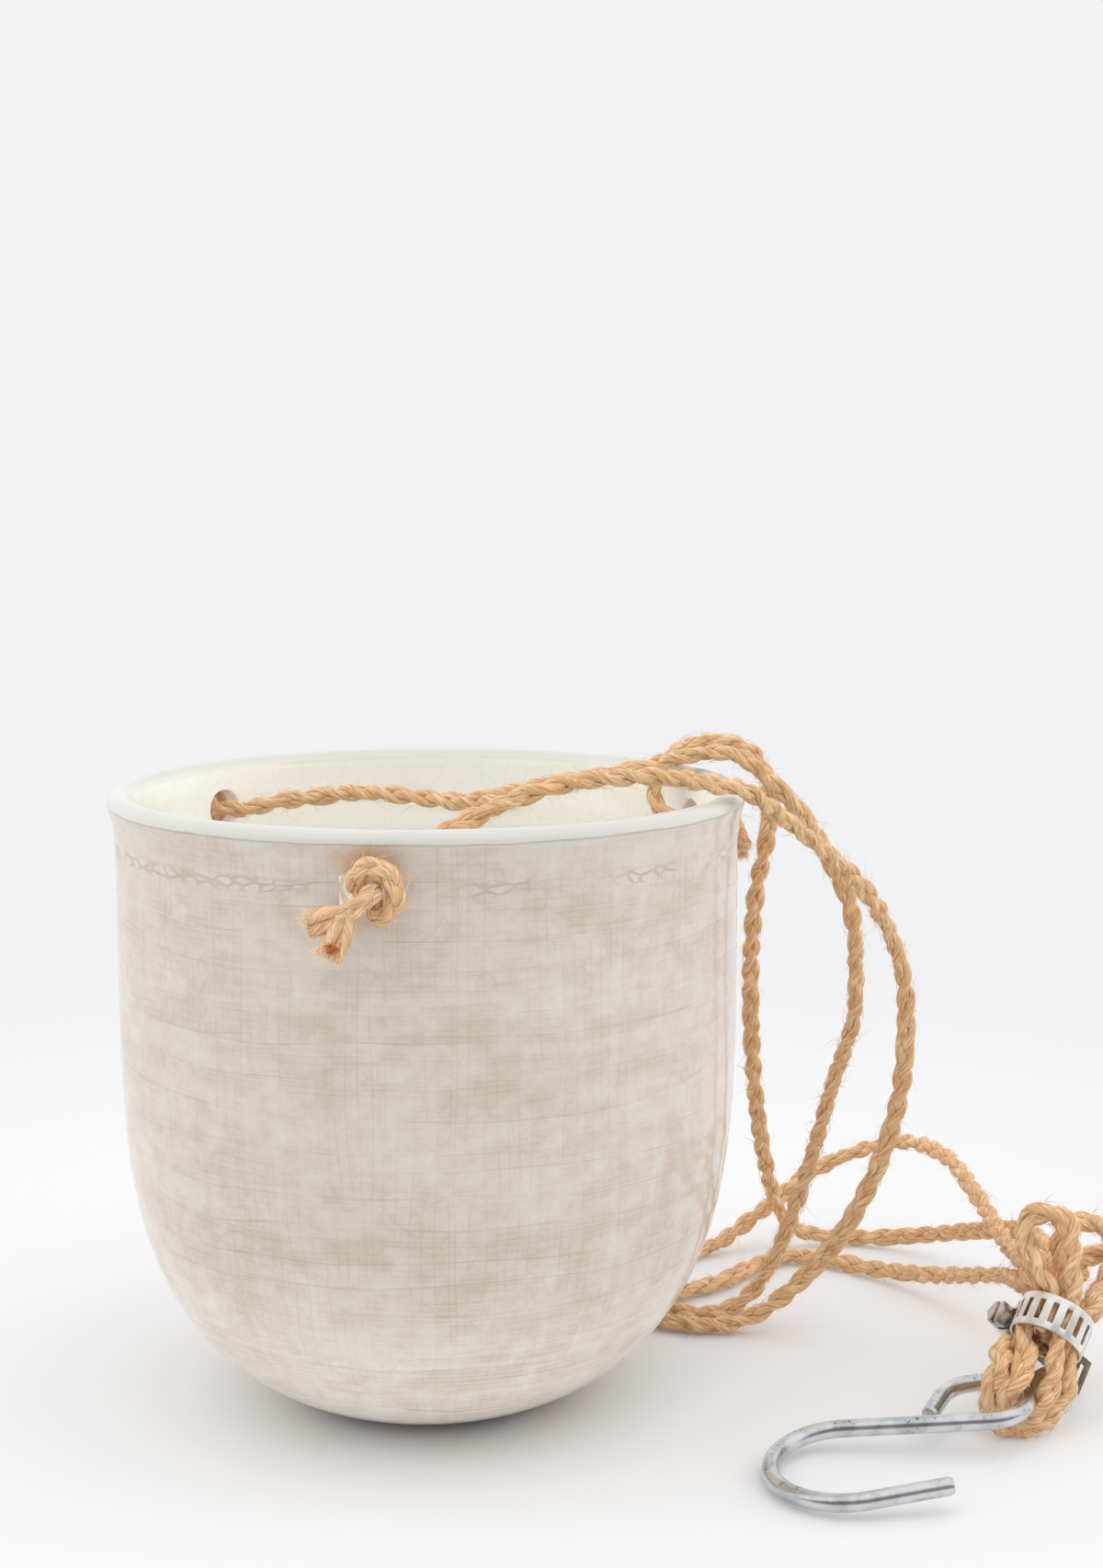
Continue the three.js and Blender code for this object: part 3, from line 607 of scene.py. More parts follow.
def rope_line(name):
    """A rope's centre line from its hole to its cut end, and its radius along it."""
    centre, _, outward, _ = hole_frame(name)
    start = [centre - depth * outward for depth in (TOUCH_GAP, ROPE_RADIUS, LIP_WALL)]
    run = [*start, *(np.array(RUNS[name]) * MILLIMETRE)]
    fine = curve_through([*run, *hank_points(HANKS[name])])
    run_length = travelled(curve_through(run))[-1]
    line = evenly(fine, PLAIT_STEP)
    above = (line - CLAMP_CENTRE) @ bundle_axis
    loop = smooth(above, WAIST_REACH, 2 * WAIST_REACH)
    fold = smooth(-above, WAIST_REACH, 2 * WAIST_REACH)
    hank_radius = PINCHED_ROPE_RADIUS
    hank_radius = hank_radius + (LOOP_ROPE_RADIUS - PINCHED_ROPE_RADIUS) * loop
    hank_radius = hank_radius + (FOLD_ROPE_RADIUS - PINCHED_ROPE_RADIUS) * fold
    in_hank = smooth(travelled(line), run_length - 4 * ROPE_RADIUS, run_length)
    return line, ROPE_RADIUS + (hank_radius - ROPE_RADIUS) * in_hank


def waver(along, longest):
    """A slow, uneven swing between about -1 and 1."""
    total = 0
    for share, weight in ((1, 0.5), (0.43, 0.3), (0.19, 0.2)):
        total = total + weight * np.sin(2 * math.pi * (along / (longest * share) + chance.random()))
    return total


def plait(shell, line, radius, pitch=PLAIT_PITCH):
    """Three strands plaited together: each sways from side to side and passes over and under in turn."""
    _, normal, side = carried_frame(line)
    along = travelled(line)
    radius = np.broadcast_to(radius, len(line))
    roll = ROLL * waver(along, ROLL_LENGTH)
    across = normal * np.cos(roll)[:, None] + side * np.sin(roll)[:, None]
    up = side * np.cos(roll)[:, None] - normal * np.sin(roll)[:, None]
    turn = 2 * math.pi * along / pitch + HASTE * waver(along, HASTE_LENGTH)
    centres = []
    for place in range(STRANDS):
        swing = turn + 2 * math.pi * place / STRANDS
        swayed = line + across * (radius * STRAND_SWAY * np.sin(swing))[:, None]
        centres.append(swayed + up * (radius * STRAND_LIFT * np.sin(2 * swing))[:, None])
    for place, centre in enumerate(centres):
        thick = radius * (1 + SWELL * waver(along, SWELL_LENGTH))
        way = directions(centre)
        high = up - way * np.sum(up * way, axis=1)[:, None]
        high = high / np.linalg.norm(high, axis=1)[:, None]
        half_width = thick * STRAND_HALF_WIDTH
        part = tube(centre, np.cross(way, high), high, half_width, thick * STRAND_HALF_HEIGHT, STRAND_SIDES)
        rings = part[0].reshape(len(line), STRAND_SIDES, 3)
        # How near each point of a strand lies to the other strands; where they press close, the jute gets
        # painted shade
        others = [other[:, None] for other in centres if other is not centre]
        nearest = np.min([np.linalg.norm(rings - other, axis=2) for other in others], axis=0)
        shell.add(part, (nearest / radius[:, None]).ravel(), shift=place)


def hair(root, lean, length, thickness, curl):
    """A fine three-sided fibre from a root, leaning one way and curling another."""
    share = np.linspace(0, 1, 5)[:, None]
    line = root + lean * length * share + curl * length * share ** 2
    _, normal, side = carried_frame(line)
    thin = thickness * (1.05 - share[:, 0])
    return tube(line, normal, side, thin, thin, 3)


def fuzz(shell, line, radius, per_metre, stand, longest):
    """Loose fibres on a rope; stand is how far they lean away from it."""
    tangent, normal, side = carried_frame(line)
    radius = np.broadcast_to(radius, len(line))
    for i in chance.integers(1, len(line) - 1, int(per_metre * travelled(line)[-1])):
        turn = chance.uniform(0, 2 * math.pi)
        outward = normal[i] * math.cos(turn) + side[i] * math.sin(turn)
        around = np.cross(tangent[i], outward)
        root = line[i] + outward * radius[i] * FIBRE_ROOT
        lean = unit(outward * chance.uniform(0, stand) + tangent[i] * chance.choice((-1, 1))
                    + around * chance.normal(0, 0.4))
        curl = chance.normal(0, 0.3, 3) - outward * 0.2
        length = longest * (0.25 + 0.75 * chance.random() ** 2)
        part = hair(root, lean, length, chance.uniform(*FIBRE_RADII), curl)
        part[0][:, 2] = np.maximum(part[0][:, 2], FIBRE_LOWEST)
        shell.add(part, shift=chance.uniform(0, FIBRE_TONES))


def made_rope(name):
    """A plaited rope from its hole to its cut end, with its loose fibres."""
    line, radius = rope_line(name)
    shell = Shell()
    plait(shell, line, radius)
    rope = shell.made(f"{name}_rope", jute)
    shell = Shell()
    fuzz(shell, line, radius, LYING_FIBRES_PER_METRE, LYING_LEAN, LYING_LENGTH)
    fuzz(shell, line, radius, STANDING_FIBRES_PER_METRE, STANDING_LEAN, STANDING_LENGTH)
    fibres = shell.made(f"{name}_rope_fibres", loose_fibre)
    return rope, fibres, line


# Knots

def from_hole(name, places, hand=1):
    """Places in millimetres along the rim, outward and up from a hole; a hand of -1 mirrors them."""
    centre, sideways, outward, up = hole_frame(name)
    places = np.array(places) * MILLIMETRE
    return np.array([centre + hand * a * sideways + b * outward + c * up for a, b, c in places])


def tuft(shell, tip, direction, spread, count, longest):
    """A frayed end: fibres that fan out from a strand's tip."""
    helper = (0, 0, 1) if abs(direction[2]) < 0.9 else (1, 0, 0)
    across = unit(np.cross(helper, direction))
    other = np.cross(direction, across)
    for _ in range(count):
        turn = chance.uniform(0, 2 * math.pi)
        away = math.sqrt(chance.random())
        offset = across * math.cos(turn) + other * math.sin(turn)
        root = tip - direction * FRAYED_ROOT + offset * away * spread
        lean = unit(direction + offset * away * FRAYED_FAN + chance.normal(0, 0.12, 3))
        length = longest * chance.uniform(0.45, 1)
        part = hair(root, lean, length, chance.uniform(*FRAYED_RADII), chance.normal(0, 0.18, 3))
        shell.add(part, shift=chance.uniform(0, FIBRE_TONES))


def made_knot(name):
    """An overhand knot against the wall, with an unravelled tail of two frayed strand pairs."""
    knot = KNOTS[name]
    outward = hole_frame(name)[2]
    line = evenly(curve_through(from_hole(name, KNOT_TURNS, knot["hand"])), PLAIT_STEP / 2)
    root = line[-14]
    start = line[-8]
    shell = Shell()
    plait(shell, line, KNOT_ROPE_RADIUS, pitch=KNOT_PLAIT_PITCH)
    fibres = Shell()
    radius = KNOT_ROPE_RADIUS
    fuzz(fibres, line, radius, 2 * LYING_FIBRES_PER_METRE, KNOT_LEAN, KNOT_LYING_LENGTH)
    fuzz(fibres, line, radius, STANDING_FIBRES_PER_METRE, STANDING_LEAN, KNOT_STANDING_LENGTH)
    for end in from_hole(name, knot["tails"], knot["hand"]):
        way = unit(end - start)
        for side in (-1, 1):
            aside = unit(np.cross(way, outward)) * side * TAIL_STRAND_RADIUS
            strand = evenly(curve_through([root, start, (start + end) / 2 + aside, end + aside]), TAIL_STEP)
            tangent, normal, other = carried_frame(strand)
            along = travelled(strand)
            width = TAIL_STRAND_RADIUS * np.interp(along, [0, along[-1]], TAIL_FLARE)
            shell.add(tube(strand, normal, other, width, width, TAIL_STRAND_SIDES), shift=STRANDS + side)
            tuft(fibres, strand[-1], tangent[-1], width[-1], FRAYED_FIBRES, FRAYED_LENGTH)
            fuzz(fibres, strand, width, 3 * LYING_FIBRES_PER_METRE, TAIL_LEAN, TAIL_LYING_LENGTH)
    stain = Shell()
    stain_tip = end + outward * STAINED_RISE * TAIL_STRAND_RADIUS - way * STAINED_SETBACK
    tuft(stain, stain_tip, unit(way + 0.5 * outward), TAIL_STRAND_RADIUS, STAINED_FIBRES, STAINED_LENGTH)
    return (
        shell.made(f"{name}_knot_rope", jute),
        fibres.made(f"{name}_knot_fibres", pale_lit_tail_fibre),
        stain.made(f"{name}_knot_stain", stained_fibre),
    )


# Pot

def lathe(profile, segments):
    """Points and faces of a profile turned about Z; a profile that starts off the axis closes on itself."""
    turn = 2 * math.pi * np.arange(segments) / segments
    points = []
    rings = []
    for radius, height in profile:
        if radius < 1e-7:
            rings.append([len(points)])
            points.append((0, 0, height))
            continue
        rings.append(list(range(len(points), len(points) + segments)))
        points += [(radius * math.cos(a), radius * math.sin(a), height) for a in turn]
    pairs = list(zip(rings, rings[1:]))
    if len(rings[0]) > 1:
        pairs.append((rings[-1], rings[0]))
    faces = []
    for low, high in pairs:
        for k in range(segments):
            following = (k + 1) % segments
            corners = [low[k % len(low)], low[following % len(low)]]
            corners += [high[following % len(high)], high[k % len(high)]]
            faces.append(tuple(dict.fromkeys(corners)))
    return points, faces


def bowl_profile(bottom_radius, bottom_height, top_radius):
    quarter = np.linspace(0, math.pi / 2, 400)
    radius = bottom_radius + (top_radius - bottom_radius) * np.sin(quarter) ** (2 / BOWL_SPREAD_POWER)
    height = SHOULDER_HEIGHT - (SHOULDER_HEIGHT - bottom_height) * np.cos(quarter) ** (2 / BOWL_DROP_POWER)
    return np.column_stack([radius, 0 * radius, height])


def pot_profile():
    lip_height = VASE_HEIGHT - LIP_WALL / 2
    flare_height = np.linspace(VASE_HEIGHT - FLARE_DROP, lip_height, 40)
    flare = np.column_stack([outer_radius(flare_height), 0 * flare_height, flare_height])
    half_turn = np.linspace(0, math.pi, 40)[1:]
    lip = np.column_stack([
        LIP_RADIUS - LIP_WALL / 2 + LIP_WALL / 2 * np.cos(half_turn),
        0 * half_turn,
        lip_height + LIP_WALL / 2 * np.sin(half_turn),
    ])
    inside_top = [(BODY_RADIUS - WALL, 0, VASE_HEIGHT - FLARE_DROP)]
    inside = bowl_profile(INNER_FLOOR_RADIUS, FLOOR_THICKNESS, BODY_RADIUS - WALL)[::-1]
    wall = evenly(np.vstack([bowl_profile(FOOT_RADIUS, 0, BODY_RADIUS), flare]), POT_RING_STEP)
    hollow = evenly(np.vstack([lip[-1:], inside_top, inside]), POT_RING_STEP)
    rings = np.vstack([wall, lip[::3], hollow[1:]])[:, [0, 2]]
    underside = [(0, 0), (FOOT_RADIUS / 2, 0)]
    bottom = [(INNER_FLOOR_RADIUS / 2, FLOOR_THICKNESS), (0, FLOOR_THICKNESS)]
    return [*underside, *rings, *bottom]


def hole_cutter(name):
    """A drill with both mouths rounded out, as the glaze leaves them."""
    angle = math.radians(HOLE_ANGLES[name])
    reach = 2 * WALL
    middle = outer_radius(hole_height) - WALL / 2
    profile = [(0, -reach)]
    for depth in np.linspace(-reach, reach, 25):
        mouth = min(abs(depth) / (WALL / 2), 1.25) ** 4
        profile.append((HOLE_RADIUS - HOLE_ROUNDING + HOLE_ROUNDING * mouth, depth))
    profile.append((0, reach))
    mesh = mesh_of("hole", *lathe(profile, HOLE_SEGMENTS))
    mesh.transform(Matrix.Rotation(angle, 4, "Z") @ Matrix.Translation((middle, 0, hole_height))
                   @ Matrix.Rotation(math.pi / 2, 4, "Y"))
    return shown("hole", mesh)


def thrown(points):
    """The small unevenness of a hand-thrown wall: two slow swells and fine rings."""
    points = np.array(points)
    angle = np.arctan2(points[:, 1], points[:, 0])
    height = points[:, 2] / VASE_HEIGHT
    swell = OVAL * np.sin(2 * angle + 0.6) + LOBES * np.sin(3 * angle - 1.1 + 3 * height)
    swell += THROWING_RING * np.sin(2 * math.pi * points[:, 2] / THROWING_RING_STEP + np.sin(angle))
    radius = np.hypot(points[:, 0], points[:, 1])
    share = 1 + swell * smooth(height, 0.02, 0.25) / np.maximum(radius, 0.02)
    points[:, 0] *= share
    points[:, 1] *= share
    return points


def made_pot():
    points, faces = lathe(pot_profile(), POT_SEGMENTS)
    pot = shown("glazed_pot", mesh_of("pot", thrown(points).tolist(), faces), outer_glaze, inner_glaze)
    combined(pot, "DIFFERENCE", [hole_cutter(name) for name in HOLE_ANGLES])
    inside = []
    holes = [hole_frame(name) for name in HOLE_ANGLES]
    for face in pot.data.polygons:
        centre = np.array(face.center)
        normal = np.array(face.normal)
        outward = unit((centre[0], centre[1], 0)) if np.hypot(*centre[:2]) > 1e-6 else np.zeros(3)
        faces_in = normal.dot(outward) - normal[2] < 0
        in_hole = any(
            np.linalg.norm(np.cross(centre - place, away)) < HOLE_RADIUS * 1.02 and centre.dot(away) > 0.05
            for place, _, away, _ in holes
        )
        inside.append(int(faces_in or in_hole))
    pot.data.polygons.foreach_set("material_index", inside)
    return sharpened(pot, POT_SHARP)


# Clamp, built with its band's axis along Z and its housing towards -Y, then set on the bundle

strap_bottom = band_outer + TOUCH_GAP
strap_top = strap_bottom + BAND_THICKNESS
screw_height = strap_top + TOUCH_GAP + SCREW_RADIUS


def on_bundle(piece):
    basis = Matrix(np.column_stack([bundle_side, bundle_front, -bundle_axis]).tolist()).to_4x4()
    turn = Matrix.Rotation(math.radians(HOUSING_ANGLE - 270), 4, "Z")
    piece.data.transform(Matrix.Translation(Vector(CLAMP_CENTRE)) @ basis @ turn)
    return piece


def slot_cutter(x, y):
    half = np.array((SLOT_WIDTH / 2, 2 * BAND_THICKNESS, SLOT_LENGTH / 2))
    middle = np.array((x, y, 0))
    return shown_box("slot", middle - half, middle + half)


def made_band():
    half = BAND_WIDTH / 2
    section = [(band_inner, -half), (band_outer, -half), (band_outer, half), (band_inner, half)]
    band = shown("slotted_band", mesh_of("clamp_band", *lathe(section, BAND_SEGMENTS)), band_steel)
    cutters = []
    for i in range(BAND_SLOTS):
        cutter = slot_cutter(0, (band_inner + band_outer) / 2)
        turn = math.radians(SLOT_PITCH_DEGREES) * (i - (BAND_SLOTS - 1) / 2)
        cutter.data.transform(Matrix.Rotation(turn, 4, "Z"))
        cutters.append(cutter)
    return on_bundle(eased(combined(band, "DIFFERENCE", cutters), BAND_EASING))


def made_strap():
    length = STRAP_TAIL + HOUSING_LENGTH / 2 - STRAP_INSET
    low = (STRAP_TAIL - length, -strap_top, -BAND_WIDTH / 2)
    high = (STRAP_TAIL, -strap_bottom, BAND_WIDTH / 2)
    strap = shown_box("strap_end", low, high, shaded_strap_steel)
    middle = -(strap_top + strap_bottom) / 2
    slots = int((length - STRAP_SLOT_PITCH) / STRAP_SLOT_PITCH)
    places = [STRAP_TAIL - STRAP_END_MARGIN - STRAP_SLOT_PITCH * i for i in range(slots)]
    cutters = [slot_cutter(x, middle) for x in places]
    return on_bundle(eased(combined(strap, "DIFFERENCE", cutters), STRAP_EASING))


def made_housing():
    inner = BAND_WIDTH / 2 + TOUCH_GAP
    outer = inner + HOUSING_WALL
    bore = SCREW_RADIUS + TOUCH_GAP
    shell = bore + HOUSING_WALL
    foot = band_outer + TOUCH_GAP
    ledge = strap_top + TOUCH_GAP
    top = ledge + HOUSING_WALL
    arc = np.linspace(0, math.pi, 25)
    section = [(-outer, foot), (-inner, foot), (-inner, ledge), (-bore, ledge)]
    section += [(-bore * math.cos(a), screw_height + bore * math.sin(a)) for a in arc]
    section += [(bore, ledge), (inner, ledge), (inner, foot), (outer, foot), (outer, top), (shell, top)]
    section += [(shell * math.cos(a), screw_height + shell * math.sin(a)) for a in arc]
    section += [(-shell, top), (-outer, top)]
    solid = bmesh.new()
    face = solid.faces.new([solid.verts.new((-HOUSING_LENGTH / 2, -y, x)) for x, y in section])
    grown = bmesh.ops.extrude_face_region(solid, geom=[face])["geom"]
    moved = [element for element in grown if isinstance(element, bmesh.types.BMVert)]
    bmesh.ops.translate(solid, verts=moved, vec=(HOUSING_LENGTH, 0, 0))
    bmesh.ops.recalc_face_normals(solid, faces=solid.faces)
    housing = shown("screw_housing", mesh_from("clamp_housing", solid), band_steel)
    return on_bundle(eased(housing, HOUSING_EASING))


def made_screw():
    head_face = HOUSING_LENGTH / 2 + TOUCH_GAP
    in_head = head_face + HEAD_LENGTH / 2
    length = in_head + HOUSING_LENGTH / 2 + SCREW_TIP
    rings_per_turn = 12
    sides = 36
    rings = round(length / THREAD_PITCH * rings_per_turn)
    line = np.zeros((rings + 1, 3))
    line[:, 0] = np.linspace(-in_head, length - in_head, rings + 1)
    across = np.tile((0.0, 1, 0), (rings + 1, 1))
    up = np.tile((0.0, 0, 1), (rings + 1, 1))
    points, faces, _ = tube(line, across, up, 1, 1, sides)
    turn = np.arange(rings + 1)[:, None] / rings_per_turn - np.arange(sides)[None] / sides
    crest = np.abs(2 * (turn % 1) - 1).ravel()
    points[:, 1:] *= (SCREW_RADIUS - THREAD_DEPTH * smooth(crest, 0.15, 0.85))[:, None]
    screw = shown("worm_screw", mesh_of("clamp_thread", points.tolist(), faces), screw_steel)
    solid = bmesh.new()
    corner = HEAD_ACROSS_FLATS / math.sqrt(3)
    bmesh.ops.create_cone(
        solid, cap_ends=True, segments=6, radius1=corner, radius2=corner, depth=HEAD_LENGTH)
    mesh = mesh_from("clamp_head", solid)
    mesh.transform(Matrix.Translation((-head_face - HEAD_LENGTH / 2, 0, 0))
                   @ Matrix.Rotation(math.pi / 2, 4, "Y"))
    head = shown("head", mesh)
    slot_low = (-head_face - 2 * HEAD_LENGTH, -HEAD_SLOT_WIDTH / 2, -HEAD_ACROSS_FLATS)
    slot_high = (-head_face - HEAD_LENGTH + HEAD_SLOT_DEPTH, HEAD_SLOT_WIDTH / 2, HEAD_ACROSS_FLATS)
    combined(head, "DIFFERENCE", [shown_box("driver_slot", slot_low, slot_high)])
    combined(screw, "UNION", [eased(head, HEAD_EASING)])
    screw.data.transform(Matrix.Translation((0, -screw_height, 0)))
    return on_bundle(sharpened(screw, SCREW_SHARP))


# Hook

def made_hook():
    """Wire from the tip of the leg, round the bend, up the shank and round the eye to its cut end."""
    turn = math.pi + math.radians(BEND_EXTRA_DEGREES)
    bend = np.linspace(turn, 0, 120)
    forward = SHANK_LENGTH + BEND_RADIUS * np.sin(bend)
    across = EYE_RADIUS + BEND_RADIUS * (1 - np.cos(bend))
    tip = (forward[0] + LEG_LENGTH * math.cos(turn), across[0] + LEG_LENGTH * math.sin(turn))
    tail_across = EYE_RADIUS - 2 * WIRE_RADIUS - TOUCH_GAP
    leave = math.atan2(tail_across, EYE_TAIL) - math.acos(EYE_RADIUS / math.hypot(EYE_TAIL, tail_across))
    eye = np.linspace(math.pi / 2, 2 * math.pi + leave, 120)
    eye_points = [(EYE_RADIUS * math.cos(a), EYE_RADIUS * math.sin(a)) for a in eye]
    flat = [tip, *zip(forward, across), *eye_points, (EYE_TAIL, tail_across)]
    line = evenly(np.array([in_hook(*point) for point in flat]), WIRE_STEP)
    _, normal, side = carried_frame(line)
    from_end = np.minimum(travelled(line), travelled(line)[::-1])
    radius = WIRE_RADIUS * (WIRE_END + (1 - WIRE_END) * smooth(from_end, *WIRE_END_ROUNDING))
    shell = Shell()
    shell.add(tube(line, normal, side, radius, radius, WIRE_SIDES))
    return sharpened(shell.made("wire_hook", hook_steel), HOOK_SHARP)


# Materials

def paint(red, green, blue):
    """A colour as it is seen, from 0 to 255, as the shader needs it."""
    shares = [value / 255 for value in (red, green, blue)]
    return (*(s / 12.92 if s <= 0.04045 else ((s + 0.055) / 1.055) ** 2.4 for s in shares), 1)


def node(tree, kind, inputs, **settings):
    made = tree.nodes.new(kind)
    for name, value in settings.items():
        setattr(made, name, value)
    for name, value in inputs.items():
        if isinstance(value, bpy.types.NodeSocket):
            tree.links.new(value, made.inputs[name])
        else:
            made.inputs[name].default_value = value
    return made


def maths(tree, operation, *values):
    return node(tree, "ShaderNodeMath", dict(enumerate(values)), operation=operation).outputs[0]


def times(tree, first, *others):
    for other in others:
        first = maths(tree, "MULTIPLY", first, other)
    return first


def most(tree, first, *others):
    for other in others:
        first = maths(tree, "MAXIMUM", first, other)
    return first


def weighed(tree, *pairs):
    """A sum of masks, each times its weight."""
    total = 0.0
    for mask, weight in pairs:
        total = maths(tree, "MULTIPLY_ADD", mask, weight, total)
    return total


def step(tree, value, low, high):
    """0 below low, 1 above high, and smooth between; the other way round where low is the larger."""
    inputs = {"Value": value, "From Min": low, "From Max": high}
    return node(tree, "ShaderNodeMapRange", inputs, interpolation_type="SMOOTHSTEP").outputs[0]


def mixed(tree, share, first, second):
    return node(tree, "ShaderNodeMix", {0: share, 6: first, 7: second}, data_type="RGBA").outputs[2]


def vectors(tree, operation, *values):
    return node(tree, "ShaderNodeVectorMath", dict(enumerate(values)), operation=operation).outputs[0]


def stretched(tree, vector, scale):
    return vectors(tree, "MULTIPLY", vector, scale)


def length_of(tree, vector):
    return node(tree, "ShaderNodeVectorMath", {0: vector}, operation="LENGTH").outputs["Value"]


def split(tree, vector):
    return node(tree, "ShaderNodeSeparateXYZ", {"Vector": vector}).outputs


def red_of(tree, colour):
    return node(tree, "ShaderNodeSeparateColor", {"Color": colour}).outputs[0]


def noise(tree, vector, scale, detail=3.0):
    return node(tree, "ShaderNodeTexNoise", {"Vector": vector, "Scale": scale, "Detail": detail}).outputs[0]


def object_place(tree):
    return node(tree, "ShaderNodeTexCoord", {}).outputs["Object"]


def new_material(name, **sockets):
    """A material with a Principled shader, and the numbers that are the same all over it."""
    material = bpy.data.materials.new(name)
    material.use_nodes = True
    shader = material.node_tree.nodes["Principled BSDF"]
    for socket, value in sockets.items():
        shader.inputs[socket.replace("_", " ").title().replace("Ior", "IOR")].default_value = value
    return material, material.node_tree, shader


def finish_material(tree, shader, colour, roughness, height, depth):
    tree.links.new(colour, shader.inputs["Base Color"])
    tree.links.new(roughness, shader.inputs["Roughness"])
    bump = node(tree, "ShaderNodeBump", {"Height": height, "Distance": depth, "Strength": 1.0})
    tree.links.new(bump.outputs[0], shader.inputs["Normal"])


def new_group(name, *numbers):
    """An empty group that makes a line and a tone from a place and some numbers, with its two ends."""
    tree = bpy.data.node_groups.new(name, "ShaderNodeTree")
    tree.interface.new_socket("Vector", in_out="INPUT", socket_type="NodeSocketVector")
    for socket in numbers:
        tree.interface.new_socket(socket, in_out="INPUT", socket_type="NodeSocketFloat")
    for socket in ("Line", "Tone"):
        tree.interface.new_socket(socket, in_out="OUTPUT", socket_type="NodeSocketFloat")
    return tree, tree.nodes.new("NodeGroupInput").outputs, tree.nodes.new("NodeGroupOutput").inputs


def grouped(tree, group, vector, **numbers):
    inputs = {name.title(): value for name, value in numbers.items()}
    made = node(tree, "ShaderNodeGroup", {"Vector": vector, **inputs}, node_tree=group)
    return made.outputs["Line"], made.outputs["Tone"]


def make_crackle_group():
    """Cracks round the cells of a glaze, and a tone that differs from cell to cell."""
    tree, entry, leave = new_group("crackle", "Cells", "Width", "Warp")
    drift = node(tree, "ShaderNodeTexNoise", {"Vector": entry["Vector"], "Scale": 70.0, "Detail": 2.0})
    centred = vectors(tree, "SUBTRACT", drift.outputs[1], (0.5, 0.5, 0.5))
    moved = node(tree, "ShaderNodeVectorMath", {0: centred, "Scale": entry["Warp"]}, operation="SCALE")
    place = vectors(tree, "ADD", entry["Vector"], moved.outputs[0])
    inputs = {"Vector": place, "Scale": entry["Cells"]}
    edge = node(tree, "ShaderNodeTexVoronoi", inputs, feature="DISTANCE_TO_EDGE").outputs["Distance"]
    cell = node(tree, "ShaderNodeTexVoronoi", inputs, feature="F1").outputs["Color"]
    width = times(tree, entry["Width"], entry["Cells"])
    tree.links.new(step(tree, edge, width, times(tree, width, 0.15)), leave["Line"])
    tree.links.new(red_of(tree, cell), leave["Tone"])
    return tree


def make_hairline_group():
    """Cracks at uneven steps of a measure, which wander and break off, and a tone for each strip between."""
    tree, entry, leave = new_group("hairlines", "Measure", "Spacing", "Width", "Wander", "Whole")
    swing = maths(tree, "SUBTRACT", noise(tree, entry["Vector"], 0.35, 2), 0.5)
    measure = maths(tree, "MULTIPLY_ADD", swing, entry["Wander"], entry["Measure"])
    inputs = {"W": maths(tree, "DIVIDE", measure, entry["Spacing"]), "Scale": 1.0}
    edge = node(tree, "ShaderNodeTexVoronoi", inputs, voronoi_dimensions="1D", feature="DISTANCE_TO_EDGE")
    strip = node(tree, "ShaderNodeTexVoronoi", inputs, voronoi_dimensions="1D", feature="F1")
    away = times(tree, edge.outputs["Distance"], entry["Spacing"])
    line = step(tree, away, entry["Width"], times(tree, entry["Width"], 0.2))
    tone = red_of(tree, strip.outputs["Color"])
    breaks = weighed(tree, (noise(tree, entry["Vector"], 1.0), 1.0), (tone, 0.12), (entry["Whole"], 1.0))
    tree.links.new(times(tree, line, step(tree, breaks, 0.5, 0.68)), leave["Line"])
    tree.links.new(tone, leave["Tone"])
    return tree


def hairlines(tree, place, measure, stretch, **numbers):
    return grouped(tree, hairline_group, stretched(tree, place, stretch), measure=measure, **numbers)


